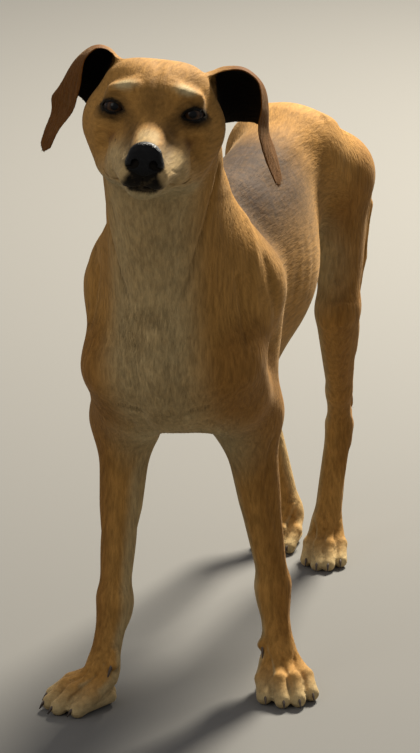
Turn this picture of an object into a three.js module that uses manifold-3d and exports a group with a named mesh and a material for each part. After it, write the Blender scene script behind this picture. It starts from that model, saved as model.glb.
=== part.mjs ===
// A short-coated dog standing at ease, life size, in millimetres.
// +Z is up, the dog faces -Y and its own left is +X. Four paws stand on flats at z = 0.
//
// The flesh is one field: rounded masses of muscle and bone that run into each other. Each part of the
// body is a capsule whose vertices slide out from its core until they meet that field, and thin plane
// cuts part it from its neighbours.
import * as THREE from "three";
import { mergeVertices } from "three/addons/utils/BufferGeometryUtils.js";
import Module from "manifold-3d";

const wasm = await Module();
wasm.setup();

const V = (x, y, z) => new THREE.Vector3(x, y, z);
const deg = THREE.MathUtils.degToRad;
const SIDEWAYS = V(1, 0, 0);

// ---------------------------------------------------------------- driving dimensions
const GAP = 0.3; // width of every cut between two parts
const OVERSHOOT = 40; // how far a part is made past a cut before it is trimmed
const SPINE_X = -4; // the spine stands this far to the right of the forefeet's middle
const WITHERS_Z = 512;
const CROUP_Z = 524;
const BRISKET_Z = 272;

// Places of the limb joints. The right foreleg stands a step ahead, and the hind feet stand close
// together. The forefeet are turned out.
const FORELEGS = {
  left: {
    side: 1,
    crest: V(36, -10, 468),
    blade: V(46, 28, 428),
    shoulder: V(52, -30, 372),
    elbow: V(44, 64, 283),
    wrist: V(67, 70, 96),
    knuckle: V(80, 53, 34),
    toesTurned: 28,
  },
  right: {
    side: -1,
    crest: V(-48, -22, 468),
    blade: V(-63, 4, 428),
    shoulder: V(-60, -46, 361),
    elbow: V(-72, 30, 280),
    wrist: V(-73, -14, 96),
    knuckle: V(-78, -38, 34),
    toesTurned: -40,
  },
};
const HINDLEGS = {
  left: {
    side: 1,
    hip: V(38, 393, 430),
    stifle: V(46, 362, 300),
    hock: V(27, 446, 142),
    knuckle: V(21, 418, 35),
    toesTurned: 12,
  },
  right: {
    side: -1,
    hip: V(-46, 397, 430),
    stifle: V(-66, 378, 300),
    hock: V(-66, 470, 142),
    knuckle: V(-32, 447, 35),
    toesTurned: -8,
  },
};
const FORE_PAW = { spread: 15, reach: 62, toe: 8.6, palm: 14.5, heel: 11 };
const HIND_PAW = { spread: 11.5, reach: 54, toe: 7.8, palm: 13, heel: 9.5 };
const CLAW = { length: 12, root: 3.1, tip: 0.9, sunk: 4 };

// The head has a frame of its own, at the middle of the line between the eyes: +X is the dog's left,
// -Y looks along the muzzle and +Z is up.
const HEAD_AT = V(14, -142, 650);
const HEAD_TURN = { yaw: 16.2, pitch: 11.3, roll: 5.5 };
const EYE = { across: 35.5, back: 3, up: -1, radius: 11 };
const NOSE = { tip: -106, up: -39, halfWidth: 17 };

const headFrame = new THREE.Matrix4()
  .makeTranslation(HEAD_AT)
  .multiply(new THREE.Matrix4().makeRotationZ(deg(HEAD_TURN.yaw)))
  .multiply(new THREE.Matrix4().makeRotationX(deg(-HEAD_TURN.pitch)))
  .multiply(new THREE.Matrix4().makeRotationY(deg(HEAD_TURN.roll)));
const onHead = (x, y, z) => V(x, y, z).applyMatrix4(headFrame);
const headSideways = SIDEWAYS.clone().transformDirection(headFrame);

// ---------------------------------------------------------------- flesh
// A mass is a tapered rod with round ends. Its section is squeezed along one direction, and blend is
// the reach over which it runs into the flesh before it.
function mass(from, fromRadius, to, toRadius, options = {}) {
  const { squeeze = 1, along = SIDEWAYS, blend = 14, carve = false } = options;
  return { from, fromRadius, to, toRadius, squeeze, along, blend, carve, axis: to.clone().sub(from) };
}

const offset = new THREE.Vector3();
function distanceTo(m, p) {
  const length2 = m.axis.lengthSq();
  offset.copy(p).sub(m.from);
  const t = length2 > 0 ? THREE.MathUtils.clamp(offset.dot(m.axis) / length2, 0, 1) : 0;
  const radius = m.fromRadius + t * (m.toRadius - m.fromRadius);
  offset.addScaledVector(m.axis, -t);
  const out = offset.length();
  if (out < 1e-6) return -radius * m.squeeze;
  const sideways = offset.dot(m.along);
  offset.addScaledVector(m.along, (1 / m.squeeze - 1) * sideways);
  return out - (radius * out) / offset.length();
}

function blended(a, b, reach) {
  const near = Math.max(reach - Math.abs(a - b), 0);
  return Math.min(a, b) - (near * near) / (4 * reach);
}

function fieldOf(masses) {
  return (p) =>
    masses.reduce((d, m) => {
      const own = distanceTo(m, p);
      if (d === null) return own;
      return m.carve ? -blended(-d, own, m.blend) : blended(d, own, m.blend);
    }, null);
}

const SIDES = [1, -1];

function trunkFlesh() {
  const x = SPINE_X;
  const masses = [
    // rib cage, sternum and withers
    mass(V(x, 10, 388), 96, V(x, 200, 404), 92, { squeeze: 0.74, blend: 30 }),
    mass(V(x, -22, 356), 50, V(x, 120, BRISKET_Z + 48), 48, { squeeze: 0.9, blend: 40 }),
    mass(V(x, 15, WITHERS_Z - 48), 44, V(x, 110, WITHERS_Z - 46), 38, { squeeze: 0.8, blend: 30 }),
    // loin, belly and pelvis
    mass(V(x, 150, 460), 46, V(x - 2, 330, CROUP_Z - 54), 54, { squeeze: 0.95, blend: 30 }),
    mass(V(x, 190, 392), 74, V(x - 3, 345, 418), 50, { squeeze: 0.86, blend: 40 }),
    mass(V(x, 120, 336), 52, V(x, 215, 372), 54, { squeeze: 0.86, blend: 40 }),
    mass(V(x - 3, 350, CROUP_Z - 54), 54, V(x - 3, 408, 440), 45, { squeeze: 1.08, blend: 26 }),
    mass(V(x - 3, 380, 420), 44, V(x - 3, 424, 416), 36, { blend: 26 }),
  ];
  for (const leg of Object.values(FORELEGS)) {
    const s = leg.side;
    masses.push(
      // shoulder blade, upper arm and the muscle behind it
      mass(leg.crest, 33, leg.blade, 38, { blend: 30 }),
      mass(leg.blade, 41, leg.shoulder, 30, { squeeze: 0.88, blend: 34 }),
      mass(leg.shoulder, 30, leg.elbow.clone().add(V(0, -10, 12)), 32, { blend: 26 }),
      mass(V(x + s * 44, 75, 415), 36, leg.elbow.clone().add(V(s * -2, 2, 16)), 28, {
        squeeze: 0.9,
        blend: 26,
      }),
      // breast muscle from the breastbone to the upper arm
      mass(V(x + s * 16, -34, 346), 30, leg.shoulder.clone().add(V(s * -10, 34, -58)), 26, { blend: 36 }),
    );
  }
  for (const leg of Object.values(HINDLEGS)) {
    const s = leg.side;
    const seat = V(leg.hip.x - s, 442, 416);
    masses.push(
      // croup, thigh and the muscle down its back
      mass(V(x + s * 26, 352, 472), 34, leg.hip.clone().add(V(0, -4, 16)), 38, { blend: 26 }),
      mass(leg.hip, 49, leg.stifle.clone().add(V(0, 10, 12)), 32, { squeeze: 0.68, blend: 24 }),
      mass(seat, 34, V(leg.stifle.x - s * 5, 412, 335), 25, { squeeze: 0.75, blend: 20 }),
    );
  }
  return masses;
}

function neckFlesh() {
  return [
    mass(V(SPINE_X - 2, 22, 430), 78, V(-4, -72, 588), 54, { squeeze: 0.94, blend: 34 }),
    mass(V(SPINE_X, -34, 400), 62, V(0, -88, 556), 46, { squeeze: 0.97, blend: 34 }),
    mass(V(-2, -66, 596), 50, onHead(0, 62, -4), 42, { blend: 24 }),
  ];
}

function headFlesh() {
  const along = headSideways;
  const masses = [
    // brain case and forehead
    mass(onHead(0, 30, 2), 41, onHead(0, 68, 2), 39, { squeeze: 1.16, along, blend: 20 }),
    mass(onHead(0, 6, -2), 29, onHead(0, 40, 2), 34, { squeeze: 1.25, along, blend: 18 }),
    // bridge of the nose, down to the tip of the muzzle
    mass(onHead(0, -6, -18), 20, onHead(0, -87, -42), 16, { squeeze: 1.05, along, blend: 16 }),
    // lower jaw and throat
    mass(onHead(0, -74, -68), 10.5, onHead(0, -8, -62), 15, { squeeze: 1.45, along, blend: 8 }),
    mass(onHead(0, -8, -54), 22, onHead(0, 58, -44), 32, { squeeze: 1.15, along, blend: 22 }),
  ];
  for (const s of SIDES) {
    masses.push(
      // temple, cheekbone, chewing muscle
      mass(onHead(s * 27, 40, 18), 22, onHead(s * 30, 66, 12), 20, { blend: 20 }),
      mass(onHead(s * 41, 10, -18), 12, onHead(s * 47, 44, -10), 13, { blend: 24 }),
      mass(onHead(s * 39, 36, -24), 23, onHead(s * 32, 22, -50), 19, { blend: 28 }),
      // brow, upper lip and lip corner
      mass(onHead(s * 20, -3, 16), 8.5, onHead(s * 38, 4, 13), 8, { blend: 12 }),
      mass(onHead(s * 19, -14, -40), 20, onHead(s * 11, -86, -54), 13.5, { blend: 12 }),
      mass(onHead(s * 25, -26, -54), 12, onHead(s * 31, 2, -56), 13, { blend: 12 }),
      // hollow of the eye
      mass(onHead(s * 39, -22, -1), 11, onHead(s * 45, -16, -3), 12, { blend: 9, carve: true }),
    );
  }
  return masses;
}

const TRUNK = trunkFlesh();
const NECK = neckFlesh();
const HEAD = headFlesh();

function forelegFlesh(leg) {
  const s = leg.side;
  return [
    mass(leg.elbow.clone().add(V(0, -10, -6)), 28, leg.wrist.clone().add(V(0, 1, 12)), 16.5, { blend: 34 }),
    mass(leg.elbow.clone().add(V(s * 2, 12, 6)), 19, leg.elbow.clone().lerp(leg.wrist, 0.45), 13, { blend: 18 }),
    mass(leg.wrist.clone().add(V(0, 0, 8)), 15, leg.wrist.clone().add(V(0, 2, -8)), 15, { blend: 14 }),
    mass(leg.wrist.clone().add(V(0, 9, -2)), 10, leg.wrist.clone().add(V(0, 10, -14)), 9, { blend: 12 }),
    mass(leg.wrist, 15, leg.knuckle, 15, { squeeze: 1.06, blend: 14 }),
  ];
}

function hindlegFlesh(leg) {
  const s = leg.side;
  const { stifle, hock, knuckle } = leg;
  const heel = hock.clone().add(V(0, 16, 10));
  return [
    mass(stifle.clone().add(V(0, 4, -4)), 29, hock.clone().lerp(stifle, 0.3), 16, { squeeze: 0.85, blend: 16 }),
    mass(stifle.clone().add(V(s * -3, 34, -26)), 21, hock.clone().lerp(stifle, 0.42).add(V(0, 14, 4)), 14, {
      squeeze: 0.8,
      blend: 18,
    }),
    mass(hock.clone().lerp(stifle, 0.3), 15, hock.clone().add(V(0, -4, 4)), 14, { blend: 10 }),
    mass(hock.clone().lerp(stifle, 0.5).add(V(0, 26, 0)), 9, heel, 8.5, { squeeze: 0.8, blend: 10 }),
    mass(heel, 9, hock.clone().add(V(0, 5, -18)), 12, { blend: 10 }),
    mass(hock.clone().add(V(0, -2, 0)), 15, knuckle, 14.5, { squeeze: 1.05, blend: 12 }),
  ];
}

// ---------------------------------------------------------------- solids
function solidOf(geometry) {
  const bare = new THREE.BufferGeometry().setAttribute("position", geometry.getAttribute("position").clone());
  if (geometry.index) bare.setIndex(geometry.index.clone());
  const merged = mergeVertices(bare, 1e-3);
  const kept = [];
  const index = merged.index.array;
  for (let i = 0; i < index.length; i += 3) {
    const [a, b, c] = [index[i], index[i + 1], index[i + 2]];
    if (a !== b && b !== c && c !== a) kept.push(a, b, c);
  }
  return new wasm.Manifold(
    new wasm.Mesh({
      numProp: 3,
      vertProperties: merged.attributes.position.array,
      triVerts: new Uint32Array(kept),
    }),
  );
}

function geometryOf(solid) {
  const mesh = solid.getMesh();
  const geometry = new THREE.BufferGeometry();
  geometry.setAttribute("position", new THREE.BufferAttribute(new Float32Array(mesh.vertProperties), 3));
  geometry.setIndex(new THREE.BufferAttribute(new Uint32Array(mesh.triVerts), 1));
  geometry.computeVertexNormals();
  return geometry;
}

// A cut is a plane: what it keeps lies behind its normal. A region is what a few cuts keep together.
const cut = (point, normal) => ({ point, normal: normal.clone().normalize() });
const opposite = (c) => cut(c.point, c.normal.clone().negate());
const pastCut = (c, p) => p.clone().sub(c.point).dot(c.normal);
const pastRegion = (cuts, p) => Math.max(...cuts.map((c) => pastCut(c, p)));

function slab(c, behind) {
  const size = 1600;
  const box = new THREE.BoxGeometry(size, size, size);
  box.applyQuaternion(new THREE.Quaternion().setFromUnitVectors(V(0, 0, 1), c.normal));
  const middle = c.point.clone().addScaledVector(c.normal, behind - size / 2);
  return solidOf(box.translate(middle.x, middle.y, middle.z));
}
const regionSolid = (cuts, behind) => cuts.map((c) => slab(c, behind)).reduce((a, b) => a.intersect(b));

// How far out along a ray from inside the flesh its surface lies.
function surfaceAlong(field, origin, direction) {
  const p = new THREE.Vector3();
  const at = (r) => field(p.copy(origin).addScaledVector(direction, r));
  let inside = 0;
  let outside = 0;
  for (let step = 0; step < 400; step++) {
    const d = at(outside);
    if (d > 0) break;
    inside = outside;
    outside += Math.max(0.5 * -d, 0.8);
  }
  for (let step = 0; step < 18; step++) {
    const middle = (inside + outside) / 2;
    if (at(middle) > 0) outside = middle;
    else inside = middle;
  }
  return outside;
}

// A capsule round a curved core, its vertices slid out to the surface of the flesh. A cap looks along
// the core, so that a muzzle or a rump closes round, unless that end is flat, where a cut takes it off.
// The solid keeps within one region and out of others.
function wrapped(shape) {
  const { core, masses, within = [], without = [], flat = [], sides, rings, caps = 3, up = V(0, 0, 1) } = shape;
  const flesh = fieldOf(masses);
  const field = (p) => {
    let d = flesh(p);
    if (within.length) d = Math.max(d, pastRegion(within, p) - OVERSHOOT);
    for (const region of without) d = Math.max(d, -pastRegion(region, p) - OVERSHOOT);
    return d;
  };
  const curve = new THREE.CatmullRomCurve3(core, false, "centripetal");
  const capsule = new THREE.CapsuleGeometry(1, 1, caps, sides, rings);
  const position = capsule.getAttribute("position");
  const looks = new THREE.Vector3();
  for (let i = 0; i < position.count; i++) {
    looks.fromBufferAttribute(position, i);
    const along = THREE.MathUtils.clamp(looks.y, -0.5, 0.5);
    looks.y -= along;
    const isFlat = flat.includes(along < 0 ? "start" : "end");
    const reach = isFlat ? Math.hypot(looks.x, looks.z) : 1;
    if (isFlat) looks.y = 0;
    const p = curve.getPointAt(along + 0.5);
    const tangent = curve.getTangentAt(along + 0.5);
    const across = new THREE.Vector3().crossVectors(tangent, up).normalize();
    const over = new THREE.Vector3().crossVectors(across, tangent);
    const direction = new THREE.Vector3()
      .addScaledVector(across, looks.x)
      .addScaledVector(tangent, looks.y)
      .addScaledVector(over, -looks.z)
      .normalize();
    if (reach > 1e-6) p.addScaledVector(direction, reach * surfaceAlong(field, p, direction));
    position.setXYZ(i, p.x, p.y, p.z);
  }
  let solid = solidOf(capsule);
  if (solid.volume() < 0) solid = solidOf(turnedInsideOut(capsule));
  if (within.length) solid = solid.intersect(regionSolid(within, -GAP / 2));
  return without.reduce((kept, region) => kept.subtract(regionSolid(region, GAP / 2)), solid);
}

function turnedInsideOut(geometry) {
  const index = geometry.index.array;
  for (let i = 0; i < index.length; i += 3) [index[i + 1], index[i + 2]] = [index[i + 2], index[i + 1]];
  return geometry;
}

const ball = (centre, radius, sides = 12, rings = 8) =>
  solidOf(new THREE.SphereGeometry(radius, sides, rings).translate(centre.x, centre.y, centre.z));

// ---------------------------------------------------------------- finishes
const finish = (color, roughness) => new THREE.MeshStandardMaterial({ color, roughness, metalness: 0 });
const FINISHES = {
  fawnCoat: finish(0xb88450, 0.85),
  paleCoat: finish(0xc8a97c, 0.85),
  backCoat: finish(0x9a7656, 0.85),
  earCoat: finish(0x8a5a30, 0.85),
  noseLeather: finish(0x151312, 0.4),
  eyeball: finish(0x2a1a10, 0.1),
  claw: finish(0x6a5c4c, 0.5),
};

const dog = new THREE.Group();
function add(name, solid, material) {
  const mesh = new THREE.Mesh(geometryOf(solid), material);
  mesh.name = name;
  dog.add(mesh);
}

// ---------------------------------------------------------------- where the parts meet
const NECK_BASE = cut(V(SPINE_X, -2, 452), V(0, -0.62, 0.78));
const NAPE = cut(onHead(0, 78, -20), V(0.02, -0.6, 0.8));
const TAIL_ROOT = cut(V(SPINE_X - 2, 479, 450), V(0, 1, -0.05));
const FLOOR = cut(V(0, 0, -GAP / 2), V(0, 0, -1));
const knee = (leg) => cut(leg.stifle.clone().add(V(0, 20, -34)), V(0, 0.25, -0.97));

// A foot leaves its leg just over the knuckle, square to the shin above it.
const shinOf = (leg) => leg.knuckle.clone().sub(leg.wrist ?? leg.hock).normalize();
const fetlock = (leg) => cut(leg.knuckle.clone().addScaledVector(shinOf(leg), -4), shinOf(leg));

// A leg leaves the trunk below a sloping plane and outside of an upright one, so that the breastbone
// and the belly between the legs stay with the trunk.
const forelegRegion = (leg) => [
  cut(leg.elbow.clone().add(V(0, -6, 10)), V(leg.side * -0.42, 0, 0.9)),
  cut(leg.elbow.clone().add(V(leg.side * -33, 0, 0)), V(-leg.side, 0, 0)),
];
const hindlegRegion = (leg) => [
  cut(V(SPINE_X + leg.side * 36, 374, 394), V(leg.side * -0.6, -0.28, 0.75)),
  cut(V(SPINE_X + leg.side * 4, 0, 0), V(-leg.side, 0, 0)),
];

// ---------------------------------------------------------------- trunk, neck, tail
const TAIL_LINE = [
  V(SPINE_X - 2, 450, 462),
  V(SPINE_X + 6, 479, 450),
  V(22, 499, 418),
  V(36, 499, 378),
  V(33, 493, 320),
  V(25, 488, 250),
  V(21, 486, 196),
  V(28, 482, 154),
];
const TAIL_RADII = [20, 15, 12, 10.5, 9.2, 8.2, 7.2, 5.2];
const TAIL = TAIL_LINE.slice(1).map((end, i) =>
  mass(TAIL_LINE[i], TAIL_RADII[i], end, TAIL_RADII[i + 1], { blend: i ? 6 : 20 }),
);

function trunk() {
  const x = SPINE_X;
  return wrapped({
    core: [V(x, -20, 380), V(x, 60, 385), V(x, 180, 410), V(x, 300, 430), V(x, 425, 430)],
    masses: [...TRUNK, ...NECK, TAIL[0], ...Object.values(FORELEGS).map((leg) => forelegFlesh(leg)[0])],
    within: [NECK_BASE, TAIL_ROOT],
    without: [
      ...Object.values(FORELEGS).map(forelegRegion),
      ...Object.values(HINDLEGS).map(hindlegRegion),
    ],
    sides: 22,
    rings: 16,
    caps: 4,
  });
}

function neck() {
  const solid = wrapped({
    core: [V(SPINE_X, 14, 424), V(-3, -40, 510), onHead(0, 64, -24)],
    masses: [...TRUNK, ...NECK, ...HEAD],
    within: [opposite(NECK_BASE), NAPE],
    flat: ["start"],
    sides: 22,
    rings: 8,
    caps: 2,
    up: V(0, 1, 0),
  });
  return Object.values(EARS).reduce((kept, ear) => kept.subtract(earSheet(ear, GAP)), solid);
}

function tail() {
  return wrapped({
    core: TAIL_LINE.slice(1),
    masses: [...TRUNK, ...TAIL],
    within: [opposite(TAIL_ROOT)],
    sides: 8,
    rings: 11,
    caps: 2,
    up: V(1, 0, 0),
  });
}

// ---------------------------------------------------------------- ears
// An ear is a curved sheet between its front edge and its back edge, bowed out to a ridge between
// them. The places are in the head's frame, mirrored for the right ear, which is carried higher.
const EARS = {
  left: {
    side: 1,
    front: [
      V(48, 44, 34), V(62, 40, 41), V(78, 37, 43), V(93, 36, 34),
      V(99, 37, 12), V(98, 42, -10), V(106, 51, -36), V(119, 60, -61),
    ],
    ridge: [
      V(46, 66, 34), V(60, 78, 38), V(80, 80, 38), V(99, 76, 24),
      V(105, 74, 4), V(105, 74, -16), V(113, 72, -38), V(123, 72, -65),
    ],
    back: [
      V(50, 60, -12), V(62, 80, -12), V(76, 95, -10), V(94, 103, -10),
      V(104, 104, -16), V(111, 101, -25), V(119, 94, -42), V(125, 84, -59),
    ],
  },
  right: {
    side: -1,
    front: [
      V(38, 44, 38), V(47, 40, 47), V(59, 36, 50), V(70, 34, 38),
      V(72, 35, 14), V(77, 42, -12), V(89, 52, -32), V(96, 60, -51),
    ],
    ridge: [
      V(40, 66, 38), V(52, 76, 46), V(68, 78, 44), V(83, 74, 30),
      V(88, 71, 8), V(88, 70, -12), V(96, 70, -33), V(103, 72, -56),
    ],
    back: [
      V(48, 60, -14), V(60, 82, -12), V(76, 95, -2), V(92, 100, 2),
      V(101, 98, -3), V(100, 95, -18), V(104, 90, -34), V(107, 82, -49),
    ],
  },
};
const EAR_THICKNESS = { root: 5, middle: 4, rim: 3 };

function earSheet(ear, thicker = 0) {
  const lines = [ear.front, ear.ridge, ear.back].map((points) => {
    const placed = points.map((p) => onHead(p.x * ear.side, p.y, p.z));
    return new THREE.CatmullRomCurve3(placed, false, "centripetal");
  });
  const at = (u, v) => {
    const [front, ridge, back] = lines.map((line) => line.getPoint(u));
    return new THREE.CatmullRomCurve3([front, ridge, back], false, "centripetal").getPoint(v);
  };
  const sheet = new THREE.BoxGeometry(1, 1, 1, 6, 10, 1);
  const position = sheet.getAttribute("position");
  const step = 0.01;
  for (let i = 0; i < position.count; i++) {
    const u = position.getY(i) + 0.5;
    const v = position.getX(i) + 0.5;
    const [u0, v0] = [Math.max(u - step, 0), Math.max(v - step, 0)];
    const alongEar = at(Math.min(u + step, 1), v).sub(at(u0, v)).normalize();
    const acrossEar = at(u, Math.min(v + step, 1)).sub(at(u, v0)).normalize();
    const normal = alongEar.clone().cross(acrossEar).normalize();
    const rim = Math.abs(2 * v - 1) ** 4;
    const body = THREE.MathUtils.lerp(EAR_THICKNESS.root, EAR_THICKNESS.middle, Math.min(u * 3, 1));
    const thickness = THREE.MathUtils.lerp(body, EAR_THICKNESS.rim, Math.max(rim, u ** 6)) + 2 * thicker;
    const p = at(u, v).addScaledVector(normal, position.getZ(i) * thickness);
    if (u === 0 || u === 1) p.addScaledVector(alongEar, (2 * u - 1) * thicker);
    if (v === 0 || v === 1) p.addScaledVector(acrossEar, (2 * v - 1) * thicker);
    position.setXYZ(i, p.x, p.y, p.z);
  }
  const solid = solidOf(sheet);
  return solid.volume() < 0 ? solidOf(turnedInsideOut(sheet)) : solid;
}

// ---------------------------------------------------------------- eyes and nose
const eyeAt = (s) => onHead(s * EYE.across, EYE.back, EYE.up);

function noseLeather(thicker = 0) {
  const { tip, up, halfWidth } = NOSE;
  const masses = [
    mass(onHead(0, tip + 14, up + 4), 12 + thicker, onHead(0, tip + 12, up - 6), 10 + thicker, { blend: 8 }),
  ];
  for (const s of SIDES) {
    const inner = onHead(s * 5, tip + 12, up + 3);
    const wing = onHead(s * (halfWidth - 8), tip + 13, up - 3);
    masses.push(mass(inner, 10.5 + thicker, wing, 9 + thicker, { blend: 8 }));
  }
  return wrapped({
    core: [onHead(-5, tip + 13, up), onHead(5, tip + 13, up)],
    masses,
    within: [cut(onHead(0, tip + 15 + thicker, up), V(0, 1, -0.25).transformDirection(headFrame))],
    sides: 11,
    rings: 3,
    caps: 3,
  });
}

// ---------------------------------------------------------------- head
function skull() {
  const solid = wrapped({
    core: [onHead(0, 62, -6), onHead(0, 20, -10), onHead(0, -30, -34), onHead(0, -84, -42)],
    masses: [...NECK, ...HEAD],
    within: [opposite(NAPE)],
    sides: 26,
    rings: 14,
    caps: 4,
  });
  return [
    ...SIDES.map((s) => ball(eyeAt(s), EYE.radius + GAP, 10, 7)),
    ...Object.values(EARS).map((ear) => earSheet(ear, GAP)),
    noseLeather(GAP),
  ].reduce((head, hollow) => head.subtract(hollow), solid);
}

// ---------------------------------------------------------------- paws and claws
// A paw's frame stands on the floor under the knuckle: x to the dog's left, y back along the foot.
function pawFrame(leg, size) {
  const turn = new THREE.Matrix4().makeRotationZ(deg(leg.toesTurned));
  const frame = new THREE.Matrix4().makeTranslation(leg.knuckle.x, leg.knuckle.y, 0).multiply(turn);
  const at = (x, y, z) => V(x, y, z).applyMatrix4(frame);
  const toes = [-1.5, -0.5, 0.5, 1.5].map((place) => {
    const outer = Math.abs(place) > 1;
    const x = place * size.spread;
    const reach = size.reach - (outer ? 13 : 0);
    return {
      root: at(x * 0.6, outer ? 0 : -4, 27),
      knuckle: at(x, -reach + 25, outer ? 19 : 22),
      tip: at(x * 1.06, -reach + size.toe - 3, size.toe - 1),
      claw: at(x * 1.1, -reach - CLAW.length + 5, 3),
      radius: size.toe,
    };
  });
  return { at, toes };
}

function pawFlesh(leg, size) {
  const { at, toes } = pawFrame(leg, size);
  return [
    mass(leg.knuckle, 15.5, at(0, -14, 17), size.palm, { blend: 12 }),
    mass(at(0, 4, 8), size.heel, at(0, -16, 8), size.heel + 3, { blend: 8 }),
    ...toes.flatMap((toe) => [
      mass(toe.root, 8.4, toe.knuckle, toe.radius - 0.3, { blend: 7 }),
      mass(toe.knuckle, toe.radius - 0.3, toe.tip, toe.radius, { blend: 3 }),
      mass(toe.root.clone().setZ(9), 8, toe.tip, toe.radius - 1, { blend: 4 }),
    ]),
  ];
}

function clawHorn(toe, thicker = 0) {
  const ahead = toe.claw.clone().sub(toe.tip);
  const root = toe.tip.clone().addScaledVector(ahead.clone().normalize(), toe.radius - CLAW.sunk);
  root.z += 3;
  const bend = root.clone().lerp(toe.claw, 0.55).add(V(0, 0, 2.4));
  const line = new THREE.CatmullRomCurve3([root, bend, toe.claw], false, "centripetal");
  const cone = new THREE.CylinderGeometry(CLAW.tip + thicker, CLAW.root + thicker, 1, 4, 2);
  const position = cone.getAttribute("position");
  for (let i = 0; i < position.count; i++) {
    const along = position.getY(i) + 0.5;
    const tangent = line.getTangentAt(along);
    const across = new THREE.Vector3().crossVectors(tangent, V(0, 0, 1)).normalize();
    const over = new THREE.Vector3().crossVectors(across, tangent);
    const p = line.getPointAt(along);
    p.addScaledVector(across, position.getX(i) * 0.8).addScaledVector(over, position.getZ(i));
    if (thicker) p.addScaledVector(tangent, (along - 0.5) * 2 * thicker);
    position.setXYZ(i, p.x, p.y, p.z);
  }
  const solid = solidOf(cone);
  return solid.volume() < 0 ? solidOf(turnedInsideOut(cone)) : solid;
}

function dewclaw(leg) {
  const { at } = pawFrame(leg, FORE_PAW);
  const s = -leg.side;
  return { root: at(s * 10, 8, 52), tip: at(s * 17, 4, 44), claw: at(s * 19, -6, 31), radius: 6.5 };
}

// ---------------------------------------------------------------- the whole dog
add("trunk", trunk(), FINISHES.backCoat);
add("neck", neck(), FINISHES.paleCoat);
add("tail", tail(), FINISHES.fawnCoat);
add("head", skull(), FINISHES.fawnCoat);
add("nose", noseLeather(), FINISHES.noseLeather);
for (const [name, ear] of Object.entries(EARS)) {
  add("ear_" + name, earSheet(ear), FINISHES.earCoat);
  add("eye_" + name, ball(eyeAt(ear.side), EYE.radius, 10, 7), FINISHES.eyeball);
}

function addPaw(place, leg, size, masses, extraToes) {
  const { at, toes } = pawFrame(leg, size);
  const horns = [...toes, ...extraToes];
  let paw = wrapped({
    core: [at(0, 4, 17), at(0, 10 - size.reach / 2, 13)],
    masses,
    within: [opposite(fetlock(leg)), FLOOR],
    sides: 18,
    rings: 4,
    caps: 4,
  });
  horns.forEach((toe, i) => {
    paw = paw.subtract(clawHorn(toe, GAP));
    add(`claw_${place}_${i + 1}`, clawHorn(toe), FINISHES.claw);
  });
  add("paw_" + place, paw, FINISHES.paleCoat);
}

for (const [name, leg] of Object.entries(FORELEGS)) {
  const inner = dewclaw(leg);
  const masses = [
    ...TRUNK,
    ...forelegFlesh(leg),
    ...pawFlesh(leg, FORE_PAW),
    mass(inner.root, inner.radius, inner.tip, inner.radius, { blend: 4 }),
  ];
  const foreleg = wrapped({
    core: [leg.elbow, leg.wrist, leg.knuckle.clone().addScaledVector(shinOf(leg), 6)],
    masses,
    within: [...forelegRegion(leg), fetlock(leg)],
    flat: ["end"],
    sides: 12,
    rings: 12,
    caps: 2,
    up: V(0, 1, 0),
  });
  add("foreleg_" + name, foreleg.subtract(clawHorn(inner, GAP)), FINISHES.fawnCoat);
  addPaw("fore_" + name, leg, FORE_PAW, masses, [inner]);
}

for (const [name, leg] of Object.entries(HINDLEGS)) {
  const masses = [...TRUNK, ...hindlegFlesh(leg), ...pawFlesh(leg, HIND_PAW)];
  const thigh = wrapped({
    core: [
      V(SPINE_X + leg.side * 54, 398, 396),
      leg.stifle.clone().add(V(0, 30, 40)),
      leg.stifle.clone().add(V(0, 24, -48)),
    ],
    masses,
    within: [...hindlegRegion(leg), knee(leg)],
    flat: ["end"],
    sides: 16,
    rings: 6,
    caps: 3,
    up: V(0, 1, 0),
  });
  const shin = leg.hock.clone().lerp(leg.stifle, 0.4).add(V(0, 4, 0));
  const shank = wrapped({
    core: [
      leg.stifle.clone().add(V(0, 18, -20)),
      shin,
      leg.hock,
      leg.knuckle.clone().addScaledVector(shinOf(leg), 6),
    ],
    masses,
    within: [opposite(knee(leg)), fetlock(leg)],
    flat: ["start", "end"],
    sides: 12,
    rings: 12,
    caps: 2,
    up: V(0, 1, 0),
  });
  add("thigh_" + name, thigh, FINISHES.fawnCoat);
  add("shank_" + name, shank, FINISHES.fawnCoat);
  addPaw("hind_" + name, leg, HIND_PAW, masses, []);
}

// The origin is on the floor, under the middle of the dog's box.
const bounds = new THREE.Box3().setFromObject(dog);
const middle = bounds.getCenter(new THREE.Vector3());
dog.position.set(-middle.x, -middle.y, -bounds.min.z);

export default dog;
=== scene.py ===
"""A standing, short-coated fawn dog as a still, life-size model: one skin, its coat, eyes, nose and claws."""

import logging
import math
from collections.abc import Callable, Iterator
from dataclasses import dataclass, field, fields
from enum import Enum

import bmesh
import bpy
import numpy as np
from mathutils import Matrix, Vector
from mathutils.bvhtree import BVHTree


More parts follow.
